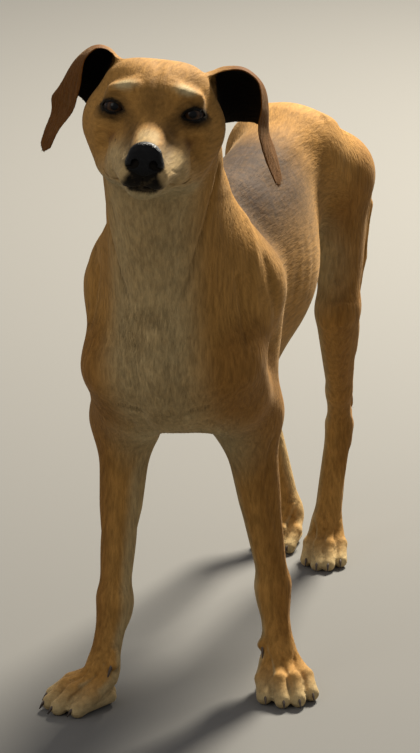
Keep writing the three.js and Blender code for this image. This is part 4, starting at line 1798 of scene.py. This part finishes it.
@dataclass(frozen=True)
class LeatherFinish:
    """Damp black leather with small cobbles, for the nose and the rims of the lids."""

    colour: Colour = (0.0016, 0.0015, 0.0015)
    cobbles: float = 1100.0
    roughness: float = 0.4

    def material(self) -> bpy.types.Material:
        """The leather's finish.

        Returns:
            The material.
        """
        material, nodes, shader = new_material("damp_black_leather")
        place = nodes.place()
        cells = nodes.add("TexVoronoi", {"Vector": place, "Scale": self.cobbles}, feature="DISTANCE_TO_EDGE")
        height = nodes.span(cells.outputs["Distance"], 0.0, 0.16)
        # painted shade: the grooves between the cobbles are darker than their tops
        low, high = (tuple(share * c for c in self.colour) for share in (0.5, 1.6))
        wet = nodes.noise(place, 260.0, 2.0)
        nodes.fill(shader, {
            "Base Color": nodes.mix(height, low, high),
            "Roughness": nodes.span(wet, 0.35, 0.65, self.roughness - 0.1, self.roughness + 0.14),
            "Normal": nodes.bump(height, 0.5, 0.0003),
            "Specular IOR Level": 0.17,
        })
        return material


@dataclass(frozen=True)
class HornFinish:
    """Dark horn, finely streaked and darker towards its point."""

    root: Colour = (0.10, 0.068, 0.045)
    point: Colour = (0.02, 0.014, 0.011)

    def material(self) -> bpy.types.Material:
        """The claws' finish.

        Returns:
            The material.
        """
        material, nodes, shader = new_material("dark_horn")
        place = nodes.place()
        streak = nodes.noise(place, 420.0, 4.0)
        height = nodes.add("SeparateXYZ", {0: place}).outputs[2]
        share = nodes.math("ADD", nodes.span(height, 0.002, 0.012), nodes.span(streak, 0.35, 0.65, -0.3, 0.3))
        nodes.fill(shader, {
            "Base Color": nodes.mix(nodes.span(share, 0.0, 1.0), self.point, self.root),
            "Roughness": nodes.span(streak, 0.3, 0.7, 0.32, 0.5),
            "Normal": nodes.bump(streak, 0.3, 0.0002),
        })
        return material


# ---- coat
@dataclass
class Locks:
    """Measures of the locks at many places, one value to a place. In mm, and locks to a square centimetre."""

    length: Values
    width: Values
    ridge: Values
    lift: Values
    spray: Values
    density: Values

    def blend(self, share: Values, other: tuple[float, ...]) -> None:
        """Turns the measures towards another kind's: length, width, ridge, lift, spray and density.

        Args:
            share: How far each lock turns, 0 to 1.
            other: The other kind's measures.
        """
        for kind, value in zip(fields(self), other):
            own = getattr(self, kind.name)
            setattr(self, kind.name, own + share * (value - own))


@dataclass
class Coat:
    """Short locks that lie along the body, each a thin closed blade with its root in the skin.

    Each kind's measures are in the order of Locks. Most is the most locks that one piece may have, and patch
    is how much of the unwrap a lock takes.
    """

    trunk: tuple[float, ...] = (9.5, 0.95, 0.08, 0.16, 0.10, 34)
    leg: tuple[float, ...] = (7.0, 0.8, 0.07, 0.14, 0.10, 46)
    paw: tuple[float, ...] = (3.6, 0.6, 0.06, 0.1, 0.14, 66)
    head: tuple[float, ...] = (4.2, 0.62, 0.06, 0.1, 0.11, 72)
    muzzle: tuple[float, ...] = (2.2, 0.45, 0.05, 0.07, 0.12, 100)
    ear: tuple[float, ...] = (3.2, 0.6, 0.07, 0.2, 0.14, 70)
    tail: tuple[float, ...] = (11.0, 1.4, 0.2, 0.35, 0.16, 34)
    most: int = 49_000
    patch: float = 0.0012
    seed: int = 11

    def measures(self, p: Points, n: Points) -> Locks:
        """What the locks are like at places of the skin.

        Args:
            p: The places, in the stance's frame.
            n: The skin's normals there.

        Returns:
            The locks' measures.
        """
        local = HEAD.local(p)
        x, y, z = p.T
        locks = Locks(*(np.full(len(p), float(value)) for value in self.trunk))
        locks.blend(np.where(y < 200, fade(230, 330, z), fade(260, 400, z)), self.leg)
        locks.blend(fade(30, 70, z), self.paw)
        near_head = fade(80, 150, lengths(local - vec(0, 5, -10)))
        locks.blend(near_head, self.head)
        locks.blend(near_head * fade(-60, 0, local[:, 1]), self.muzzle)
        flap = smooth(44, 58, np.abs(local[:, 0])) * (local[:, 1] > 24) * (lengths(local) < 160)
        locks.blend(flap * smooth(-66, -50, local[:, 2]), self.ear)
        tail = along_path(p, [vec(*q) for q in TAIL_LINE[1:]])[0]
        locks.blend(fade(16, 26, tail), self.tail)
        ruffled = smooth(410, 440, y) * smooth(0.2, 0.8, n[:, 1]) * smooth(270, 320, z) * fade(478, 500, y)
        nape = fade(12, 34, np.abs(x - SPINE_X)) * smooth(0.3, 0.8, n[:, 2]) * (y < 120)
        chest = fade(20, 50, np.abs(x + 6)) * smooth(0.4, 0.9, -n[:, 1]) * (z < 450)
        belly = smooth(0.5, 0.9, -n[:, 2]) * (z > 250)
        rough = np.maximum.reduce([ruffled, nape * (1 - near_head), 0.7 * chest, 0.8 * belly])
        locks.lift = locks.lift + 0.6 * rough
        locks.length = locks.length * (1 + 0.35 * rough)
        locks.spray = locks.spray + 0.12 * rough
        return locks

    @staticmethod
    def bare(p: Points, n: Points) -> np.ndarray:
        """Where no lock grows: between the lids and lips, on the nose, in the ears and under the pads.

        Args:
            p: Places of the skin.
            n: The skin's normals there.

        Returns:
            True at each bare place.
        """
        local = HEAD.local(p)
        free = (p[:, 2] < 2.5) | ((p[:, 2] < 9) & (n[:, 2] < -0.3))
        for s in SIDES:
            a, b, w = Lids(s).coordinates(local)
            free |= (w > 0) & (Lids(s).outside_opening(a, b) < 1.3) & (np.hypot(a, b) < 22)
        free |= in_egg(local, vec(0, -96, -40), vec(19, 14, 15)) < 1
        for path in LIP_LINE.paths():
            free |= along_path(p, path)[0] < 1.3
        for ear in EARS:
            index = ear.close_to(p)
            gap, u, _, normals = ear.nearest(p[index])
            inner = -ear.side * (normals * n[index]).sum(1) > 0.1
            free[index] |= inner & (gap < 4) & (u > 0.03) & (u < 0.97)
        return free

    @staticmethod
    def parts(p: Points) -> dict[str, np.ndarray]:
        """Which piece of the coat each place belongs to.

        Args:
            p: Places of the skin.

        Returns:
            For each piece's name, True at its places.
        """
        local = HEAD.local(p)
        x, y, z = p.T
        near_head = lengths(local - vec(0, 5, -10)) < 128
        face = near_head & (local[:, 1] < 12)
        low = ~near_head & np.where(y < 200, z < 285, (z < 340) | (y > 470))
        neck = ~near_head & ~low & (y < -10)
        rest = ~near_head & ~low & ~neck
        return {
            "coat_face": face, "coat_head": near_head & ~face, "coat_neck": neck,
            "coat_trunk_left": rest & (x > SPINE_X), "coat_trunk_right": rest & (x <= SPINE_X),
            "coat_forelegs": low & (y < 200), "coat_hindlegs": low & (y >= 200),
        }

    @staticmethod
    def one_lock() -> tuple[Points, np.ndarray]:
        """The blade that every lock repeats: three corners at its root and one at its tip, and its faces.

        Returns:
            The corners, and each face's corners.
        """
        shape = bmesh.new()
        bmesh.ops.create_cone(shape, cap_ends=True, cap_tris=False, segments=3, radius1=1, radius2=0, depth=1)
        bmesh.ops.remove_doubles(shape, verts=shape.verts, dist=1e-4)
        bmesh.ops.recalc_face_normals(shape, faces=shape.faces)
        shape.verts.index_update()
        corners = np.array([tuple(v.co) for v in shape.verts])
        faces = np.array([[v.index for v in f.verts] for f in shape.faces])
        shape.free()
        return corners, faces

    def sway(self, p: Points) -> Values:
        """A slow wander of the lie, in radians, so that the hair swirls a little.

        Args:
            p: The locks' roots.

        Returns:
            The angle at each root.
        """
        random = np.random.default_rng(self.seed + 1)
        total = np.zeros(len(p))
        for _ in range(6):
            wave = random.normal(size=3) * 0.045
            total += np.sin(p @ wave + random.uniform(0, 6.28))
        return 0.055 * total

    def spread(self, weight: Values, random: np.random.Generator) -> tuple[np.ndarray, Points]:
        """Spreads roots over the skin.

        Args:
            weight: How many locks each face bears.
            random: The source of chance.

        Returns:
            Each root's face, and its shares of that face's three corners.
        """
        count = min(int(weight.sum()), self.most)
        steps = (np.arange(count) + random.random(count)) / count * weight.sum()
        face = np.minimum(np.searchsorted(np.cumsum(weight), steps), len(weight) - 1)
        share = random.random((count, 2))
        over = share.sum(1) > 1
        share[over] = 1 - share[over]
        return face, np.concatenate([1 - share.sum(1, keepdims=True), share], axis=1)

    @staticmethod
    def tips(
        skin: "SkinSample", root: Points, normal: Points, way: Points, lift: Values
    ) -> tuple[Points, Points]:
        """Where the locks end: over the skin ahead, or half as far where that is through a thin flap.

        Args:
            skin: The skin's faces.
            root: The locks' roots.
            normal: The skin's normals at the roots.
            way: From each root straight to its tip.
            lift: How far the tips stand off the skin.

        Returns:
            The tips, and the skin's normals under them.
        """
        tip = root + way
        tip_normal = np.empty_like(tip)
        for i, place in enumerate(tip):
            near, up, face_under, _ = skin.tree.find_nearest(Vector(place))
            if up.dot(Vector(normal[i])) < 0.2:
                tip[i] = root[i] + 0.5 * way[i] + normal[i] * lift[i]
                tip_normal[i] = normal[i]
            else:
                tip[i] = np.array(near) + np.array(up) * lift[i]
                tip_normal[i] = skin.normals[skin.corners[face_under]].mean(axis=0)
        return tip, unit(tip_normal)

    def piece(self, name: str, skin: "SkinSample", weight: Values, random: np.random.Generator) -> Piece:
        """Grows one piece of the coat.

        Args:
            name: The piece's name.
            skin: The skin's faces, with what their corners carry.
            weight: How many locks each face bears.
            random: The source of chance.

        Returns:
            The piece, in the frame.
        """
        face, share = self.spread(weight, random)
        root, normal, lie, marks, spot = (skin.mix(values, face, share) for values in skin.carried())
        kept = ~self.bare(root, normal)
        root, normal, lie, marks, spot = (v[kept] for v in (root, unit(normal), lie, marks, spot))
        count = len(root)
        size = self.measures(root, normal)
        lie = unit(lie - (lie * normal).sum(1)[:, None] * normal)
        angle = self.sway(root) + random.normal(size=count) * size.spray
        lie = lie * np.cos(angle)[:, None] + np.cross(normal, lie) * np.sin(angle)[:, None]
        side = np.cross(normal, lie)
        length = size.length * random.uniform(0.7, 1.25, count)
        width = size.width * random.uniform(0.75, 1.25, count)
        tip, tip_normal = self.tips(skin, root, normal, lie * length[:, None], size.lift)
        tip += normal * (size.lift * random.uniform(-0.4, 0.3, count))[:, None]
        corners, faces = self.one_lock()
        each = len(corners)
        places = np.empty((count, each, 3))
        facing = np.repeat(normal[:, None], each, axis=1)
        lock = np.zeros((count, each, 4))
        uv = np.empty((count, each, 2))
        lock[..., 0] = random.random((count, 1))
        lock[..., 3] = 1
        for k, (x, y, z) in enumerate(corners):
            if z > 0:  # the tip
                places[:, k] = tip
                facing[:, k] = unit(tip_normal + 0.12 * lie)
                lock[:, k, 1] = 1
                uv[:, k] = spot + (0, self.patch)
            elif y > 0.1 and abs(x) < 0.5:  # the ridge
                places[:, k] = root + 0.36 * (tip - root) + normal * size.ridge[:, None]
                lock[:, k, 1] = 0.4
                uv[:, k] = spot
            else:  # the two corners in the skin
                way = 1.0 if x > 0 else -1.0
                places[:, k] = root + side * (way * width / 2)[:, None] - 0.12 * normal
                facing[:, k] = unit(normal + (way * 0.22) * side)
                uv[:, k] = spot + (way * self.patch, -self.patch)
        every_face = (faces[None] + each * np.arange(count)[:, None, None]).reshape(-1, faces.shape[1])
        piece = self.lay(name, places.reshape(-1, 3), every_face)
        add_attribute(piece, "marks", Carried.COLOUR, np.repeat(marks, each, axis=0))
        add_attribute(piece, "lie", Carried.VECTOR, np.repeat(lie, each, axis=0))
        add_attribute(piece, "lock", Carried.COLOUR, lock)
        add_attribute(piece, "custom_normal", Carried.VECTOR, facing)
        corner_uv = np.clip(uv.reshape(-1, 2)[every_face.ravel()], 0, 1)
        piece.data.uv_layers.new(name="OFBake").data.foreach_set("uv", corner_uv.astype(np.float32).ravel())
        return piece

    @staticmethod
    def lay(name: str, places: Points, faces: np.ndarray) -> Piece:
        """Makes one mesh of all the locks.

        Args:
            name: The piece's name.
            places: The locks' corners, in the stance's frame.
            faces: Each face's corners, as indices into places.

        Returns:
            The piece, in the frame.
        """
        mesh = bpy.data.meshes.new(name)
        sides = faces.shape[1]
        mesh.vertices.add(len(places))
        mesh.vertices.foreach_set("co", to_frame(places).astype(np.float32).ravel())
        mesh.loops.add(faces.size)
        mesh.loops.foreach_set("vertex_index", faces.ravel().astype(np.int32))
        mesh.polygons.add(len(faces))
        mesh.polygons.foreach_set("loop_start", np.arange(0, faces.size, sides, dtype=np.int32))
        mesh.update(calc_edges=True)
        return stand(name, mesh)

    def build(self, skin: Piece) -> list[Piece]:
        """Grows the whole coat.

        Args:
            skin: The finished skin, with its marks, lie and unwrap.

        Returns:
            The coat's pieces.
        """
        sample = SkinSample(skin)
        random = np.random.default_rng(self.seed)
        pieces = []
        density = self.measures(sample.middle, sample.face_normals).density / 100
        bearing = np.where(self.bare(sample.middle, sample.face_normals), 0, sample.area * density)
        for name, chosen in self.parts(sample.middle).items():
            piece = self.piece(name, sample, bearing * chosen, random)
            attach(piece, "root")
            pieces.append(piece)
        return pieces


class SkinSample:
    """The skin's triangles, with the places, normals, lie, marks and unwrap at their corners."""

    def __init__(self, skin: Piece) -> None:
        """Reads the skin.

        Args:
            skin: The finished skin.
        """
        mesh = skin.data
        mesh.calc_loop_triangles()
        self.corners, self.loops = (
            read_rows(mesh.loop_triangles, name, 3, np.int32) for name in ("vertices", "loops")
        )
        self.places, self.normals = read_places(mesh), read_normals(mesh)
        self.lie = read_rows(mesh.attributes["lie"].data, "vector", 3, np.float32)
        self.marks = read_rows(mesh.attributes["marks"].data, "color", 4, np.float32)
        self.uv = read_rows(mesh.uv_layers["OFBake"].data, "uv", 2, np.float32)
        a, b, c = (self.places[self.corners[:, k]] for k in range(3))
        cross = np.cross(b - a, c - a)
        self.area = lengths(cross) / 2
        self.face_normals = unit(cross)
        self.middle = (a + b + c) / 3
        self.tree = BVHTree.FromPolygons(self.places.tolist(), self.corners.tolist())

    def carried(self) -> list[tuple[np.ndarray, np.ndarray]]:
        """Places, normals, lie, marks and unwrap, each with the triangles' indices into it."""
        by_corner = [self.places, self.normals, self.lie, self.marks]
        return [(values, self.corners) for values in by_corner] + [(self.uv, self.loops)]

    @staticmethod
    def mix(values: tuple[np.ndarray, np.ndarray], face: np.ndarray, share: Points) -> Points:
        """What lies at places inside triangles, by their shares of the three corners."""
        rows, corners = values
        return (rows[corners[face]] * share[..., None]).sum(axis=1)


# ---- eyes
@dataclass
class Eyes:
    """Both eyeballs and the dark rims of their lids. In mm, and radians for the cornea's reach."""

    cornea: float = 0.9
    cornea_reach: float = 0.62
    rim: float = 0.85
    rim_points: int = 72
    look: Triple = (0.02, -0.985, 0.12)

    def eyeball(self, side: int) -> Piece:
        """One eyeball, with its cornea standing out towards what the dog looks at.

        Args:
            side: 1 for the left eye, -1 for the right one.

        Returns:
            The eyeball, in the frame.
        """
        shape = bmesh.new()
        bmesh.ops.create_uvsphere(shape, u_segments=64, v_segments=48, radius=EYE.radius)
        for v in shape.verts:
            angle = math.acos(max(-1.0, min(1.0, v.co.z / EYE.radius)))
            if angle < self.cornea_reach:
                v.co += v.co.normalized() * self.cornea * (1 - (angle / self.cornea_reach) ** 2)
        turn = Vector(self.gaze(side)).to_track_quat("Z", "Y").to_matrix().to_4x4()
        angles = shape.verts.layers.float.new("off_gaze")
        for v in shape.verts:
            v[angles] = v.co.angle(Vector((0, 0, 1)), 0)
        bmesh.ops.transform(shape, matrix=turn, verts=shape.verts)
        centre = HEAD.place(*EYE.centre(side))
        for v in shape.verts:
            v.co = Vector(to_frame(np.array(v.co) + centre))
        return new_piece(f"eyeball_{SIDE_NAMES[side]}", shape)

    def gaze(self, side: int) -> Points:
        """Where an eye looks, in the stance's frame."""
        x, y, z = self.look
        return unit(HEAD.direction(vec(x + 0.1 * side, y, z)))

    def rims(self, side: int) -> Piece:
        """The wet dark edge of both lids, as one closed cord round the opening.

        Args:
            side: 1 for the left eye, -1 for the right one.

        Returns:
            The edge, in the frame.
        """
        lids = Lids(side)
        along, up, out = lids.axes()
        curve = bpy.data.curves.new("rim", "CURVE")
        curve.dimensions = "3D"
        curve.bevel_depth = self.rim * MM
        curve.bevel_resolution = 2
        loop = curve.splines.new("POLY")
        loop.points.add(self.rim_points - 1)
        loop.use_cyclic_u = True
        for i, point in enumerate(loop.points):
            angle = 2 * math.pi * i / self.rim_points
            a, b, w = self.rim_place(lids, angle)
            on_head = EYE.centre(side) + a * along + b * up + w * out
            point.co = (*to_frame(HEAD.place(*on_head)), 1)
            point.radius = 1.0 - 0.35 * abs(math.cos(angle)) ** 3
        holder = stand("rim", curve)
        mesh = bpy.data.meshes.new_from_object(holder)
        bpy.data.objects.remove(holder)
        mesh.shade_smooth()
        return stand(f"lid_rims_{SIDE_NAMES[side]}", mesh)

    @staticmethod
    def rim_place(lids: Lids, angle: float) -> Triple:
        """A point of the almond's edge, just over the eyeball.

        Args:
            lids: The eye's lids.
            angle: The direction from the almond's middle, in radians.

        Returns:
            The point's distances along the opening, up across it and out of the eye.
        """
        low, high = 0.0, 16.0
        ray = np.array((math.cos(angle), math.sin(angle)))
        for _ in range(24):
            middle = (low + high) / 2
            a, b = ray * middle
            if lids.outside_opening(np.array(a), np.array(b)) > 0:
                high = middle
            else:
                low = middle
        a, b = ray * low
        over = EYE.radius + 0.35
        return a, b, math.sqrt(max(over * over - a * a - b * b, 9.0))

    def build_balls(self) -> list[Piece]:
        """Makes both eyeballs, in place of their nodes.

        Returns:
            The eyeballs.
        """
        pieces = []
        for side in SIDES:
            ball = self.eyeball(side)
            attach(ball, "root")
            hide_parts(f"eye_{SIDE_NAMES[side]}")
            pieces.append(ball)
        return pieces

    def build_rims(self) -> list[Piece]:
        """Makes the rims of the lids of both eyes.

        Returns:
            The rims.
        """
        pieces = []
        for side in SIDES:
            rim = self.rims(side)
            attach(rim, "root")
            pieces.append(rim)
        return pieces


# ---- nose
@dataclass
class Nose:
    """The black nose leather, with nostrils and the groove between them. In the head's frame, in mm."""

    tip: float = -106
    up: float = -39
    half_width: float = 17
    voxel: float = 0.6

    def masses(self) -> list[Mass]:
        """The pad, its wings and what is taken out of them.

        Returns:
            The masses, the carved one last.
        """
        at = HEAD.place
        tip, up, side = self.tip, self.up, self.half_width - 8
        pad = Mass(at(0, tip + 14, up + 4), 12, at(0, tip + 12, up - 6), 10, blend=8)
        wings = [
            Mass(at(s * 5, tip + 12, up + 3), 10.5, at(s * side, tip + 13, up - 3), 9, blend=8)
            for s in SIDES
        ]
        groove = Mass(at(0, tip - 1.5, up + 2), 1.1, at(0, tip + 1, up - 18), 1.3, blend=2.2, carve=True)
        return [pad, *wings, groove]

    def nostrils(self, p: Points) -> Points:
        """Sinks the nostrils, each a round hole with a slit curling out to the side.

        Args:
            p: Places of the leather.

        Returns:
            The places with the nostrils sunk.
        """
        local = HEAD.local(p)
        x, z = np.abs(local[:, 0]), local[:, 2] - self.up
        hole = np.hypot(x - 8.4, (z + 3.2) / 1.1) - 4.0
        t = np.clip((x - 9.5) / 8.0, 0, 1)
        slit = np.hypot(x - 9.5 - 8.0 * t, z + 6.0 + 1.5 * t) - (2.4 - 0.9 * t)
        depth = 8.0 * smooth(0.0, 1.3, -np.minimum(hole, slit)) * (local[:, 1] < self.tip + 12)
        return p + HEAD.direction(depth[:, None] * vec(0, 1, 0))

    def build(self) -> Piece:
        """Makes the nose.

        Returns:
            The nose's leather.
        """
        piece = new_piece("nose_leather", node_copy("nose"))
        make_lump(piece, self.voxel)
        masses = self.masses()
        back = HEAD.direction(unit(vec(0, 1, -0.25)))
        behind = HEAD.place(0, self.tip + 18, self.up)
        ahead = HEAD.direction(unit(vec(0, -1, 0.12)))
        front = HEAD.place(0, self.tip + 3.2, self.up)

        def measure(q: Points) -> Values:
            """How far outside the nose leather places are.

            Args:
                q: The places.

            Returns:
                Distances in mm, negative inside.
            """
            index = [np.arange(len(q))] * len(masses)
            d = Flesh.run_together(np.full(len(q), FAR), q, masses, iter(index))
            d = -soft_less(-d, -((q - front) @ ahead), 4.0)
            return np.maximum(d + 0.2, (q - behind) @ back)

        p = read_places(piece.data)
        for _ in range(4):
            p = settle_on(Skin.relax(piece, p, 0.4), lambda _: measure, 1, step=0.15, stride=2.0)
        write_places(piece.data, self.nostrils(p))
        piece.data.shade_smooth()
        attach(piece, "root")
        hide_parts("nose")
        return piece


# ---- claws
@dataclass
class Claws:
    """Eighteen curved claws. In mm."""

    length: float = 12
    root: float = 2.4
    tip: float = 0.6
    sunk: float = 4
    rings: int = 9

    def places(self) -> dict[str, tuple[Points, Points, float]]:
        """Each claw's toe tip, its own point and its toe's radius, by its node's name.

        Returns:
            The three, by the node's name.
        """
        out = {}
        for kind, legs, size in (("fore", FORELEGS, FORE_PAW), ("hind", HINDLEGS, HIND_PAW)):
            for leg in legs:
                paw = Paw(leg, size)
                for i, toe in enumerate(paw.toes()):
                    outer = i in (0, 3)
                    x = (i - 1.5) * size.spread * 1.1
                    point = paw.at(x, -(size.reach - (13 if outer else 0)) - self.length + 5, 3)
                    out[f"claw_{kind}_{leg.name}_{i + 1}"] = (toe.tip, point, toe.radius)
                if kind == "fore":
                    s = -leg.side
                    out[f"claw_fore_{leg.name}_5"] = (paw.at(s * 17, 4, 44), paw.at(s * 19, -6, 31), 6.5)
        return out

    def claw(self, name: str, toe: Points, point: Points, radius: float) -> Piece:
        """One claw, bent down from its toe to its point.

        Args:
            name: The piece's name.
            toe: The toe's tip.
            point: The claw's point.
            radius: The toe's radius.

        Returns:
            The claw, in the frame.
        """
        ahead = unit(point - toe)
        root = toe + ahead * (radius - self.sunk - 2) + vec(0, 0, 3)
        bend = root + (point - root) * 0.55 + vec(0, 0, 2.4)
        line = spline([root, bend, point], self.rings * 3)
        shape = bmesh.new()
        bmesh.ops.create_cone(shape, cap_ends=True, segments=12, radius1=self.root, radius2=self.tip, depth=1)
        lengthwise = [e for e in shape.edges if abs(e.verts[0].co.z - e.verts[1].co.z) > 0.5]
        bmesh.ops.subdivide_edges(shape, edges=lengthwise, cuts=self.rings)
        for v in shape.verts:
            t = v.co.z + 0.5
            k = min(int(t * (len(line) - 1)), len(line) - 2)
            middle = line[k] + (line[k + 1] - line[k]) * (t * (len(line) - 1) - k)
            tangent = unit(line[k + 1] - line[k])
            across = unit(np.cross(tangent, vec(0, 0, 1)))
            over = np.cross(across, tangent)
            swell = 1 + 0.25 * math.sin(math.pi * t)
            v.co = Vector(to_frame(middle + across * v.co.x * 0.75 * swell + over * v.co.y * swell))
        bmesh.ops.recalc_face_normals(shape, faces=shape.faces)
        return new_piece(name, shape)

    def build(self) -> list[Piece]:
        """Makes all claws.

        Returns:
            The claws, each in place of its node.
        """
        pieces = []
        for node, (toe, point, radius) in self.places().items():
            piece = self.claw(node.replace("claw_", "horn_"), toe, point, radius)
            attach(piece, "root")
            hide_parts(node)
            pieces.append(piece)
        return pieces


# ---- studio
@dataclass(frozen=True)
class Lamp:
    """A soft round light: its place and width in metres, its watts and its colour."""

    name: str
    place: Triple
    width: float
    watts: float
    colour: Colour

    def hang(self) -> None:
        """Hangs the light, turned to the dog's chest."""
        data = bpy.data.lights.new(self.name, "AREA")
        data.shape = "DISK"
        data.size, data.energy, data.color = self.width, self.watts, self.colour
        light = stand(self.name, data)
        light.location = self.place
        away = Vector(self.place) - Vector((0, -0.05, 0.4))
        light.rotation_euler = away.to_track_quat("Z", "Y").to_euler()


@dataclass
class Studio:
    """A plain pale floor, soft lights and the camera, whose angles are in degrees and distance in metres."""

    azimuth: float = 18
    elevation: float = 19
    distance: float = 4.2
    lens: float = 205.58
    aim: Triple = (29.6, -20.4, 350)
    lamps: tuple[Lamp, ...] = (
        Lamp("key", (-1.5, -2.4, 2.7), 1.8, 18, (1.0, 0.96, 0.9)),
        Lamp("rim", (0.3, 2.6, 2.4), 0.8, 340, (1.0, 0.94, 0.81)),
    )
    sky: Colour = (0.97, 0.97, 1.0)
    sky_strength: float = 0.3
    floor_colour: Colour = (0.165, 0.16, 0.15)

    def camera(self) -> None:
        """Stands the camera before the dog, a little to its left and above it."""
        a, e = math.radians(self.azimuth), math.radians(self.elevation)
        back = Vector((math.sin(a) * math.cos(e), -math.cos(a) * math.cos(e), math.sin(e)))
        data = bpy.data.cameras.new("camera")
        data.lens = self.lens
        data.clip_end = 50
        camera = stand("camera", data)
        camera.location = Vector(to_frame(vec(*self.aim))) + back * self.distance
        camera.rotation_euler = back.to_track_quat("Z", "Y").to_euler()
        bpy.context.scene.camera = camera

    def floor(self) -> None:
        """Lays the floor."""
        shape = bmesh.new()
        bmesh.ops.create_grid(shape, x_segments=1, y_segments=1, size=12)
        floor = new_piece("floor", shape)
        finish, nodes, shader = new_material("pale_floor")
        nodes.fill(shader, {"Base Color": (*self.floor_colour, 1), "Roughness": 0.9})
        floor.data.materials.append(finish)

    def build(self) -> None:
        """Sets up the whole studio."""
        self.camera()
        self.floor()
        world = bpy.data.worlds.new("studio")
        world.use_nodes = True
        background = world.node_tree.nodes["Background"].inputs
        background["Color"].default_value = (*self.sky, 1)
        background["Strength"].default_value = self.sky_strength
        bpy.context.scene.world = world
        bpy.context.scene.view_settings.view_transform = "Standard"
        for lamp in self.lamps:
            lamp.hang()


def main() -> None:
    """Builds the dog, piece by piece."""
    logging.basicConfig(level=logging.INFO)
    Studio().build()
    skin = Skin().build()
    places, normals = read_places(skin.data), read_normals(skin.data)
    add_attribute(skin, "marks", Carried.COLOUR, Markings(places, normals).rows())
    add_attribute(skin, "lie", Carried.VECTOR, Lie().at(places, normals))
    tufts = HairGrain("hair_tufts", 52.0, 290.0)
    finish = CoatFinish(CoatColours().group(), HairGrain().group(), tufts.group())
    skin.data.materials.append(finish.material("short_coat_skin", False))
    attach(skin, "root")
    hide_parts(*FLESH_NODES)
    log.info("skin: %d vertices, %d faces", len(skin.data.vertices), len(skin.data.polygons))
    hair = finish.material("short_coat_hair", True)
    for piece in Coat().build(skin):
        piece.data.materials.append(hair)
        log.info("%s: %d locks", piece.name, len(piece.data.polygons) // 4)
    dressings = (
        (Eyes().build_balls(), EyeFinish().material()),
        (Eyes().build_rims() + [Nose().build()], LeatherFinish().material()),
        (Claws().build(), HornFinish().material()),
    )
    for pieces, material in dressings:
        for piece in pieces:
            piece.data.materials.append(material)
            log.info("%s: %d faces", piece.name, len(piece.data.polygons))


if __name__ == "__main__":
    main()
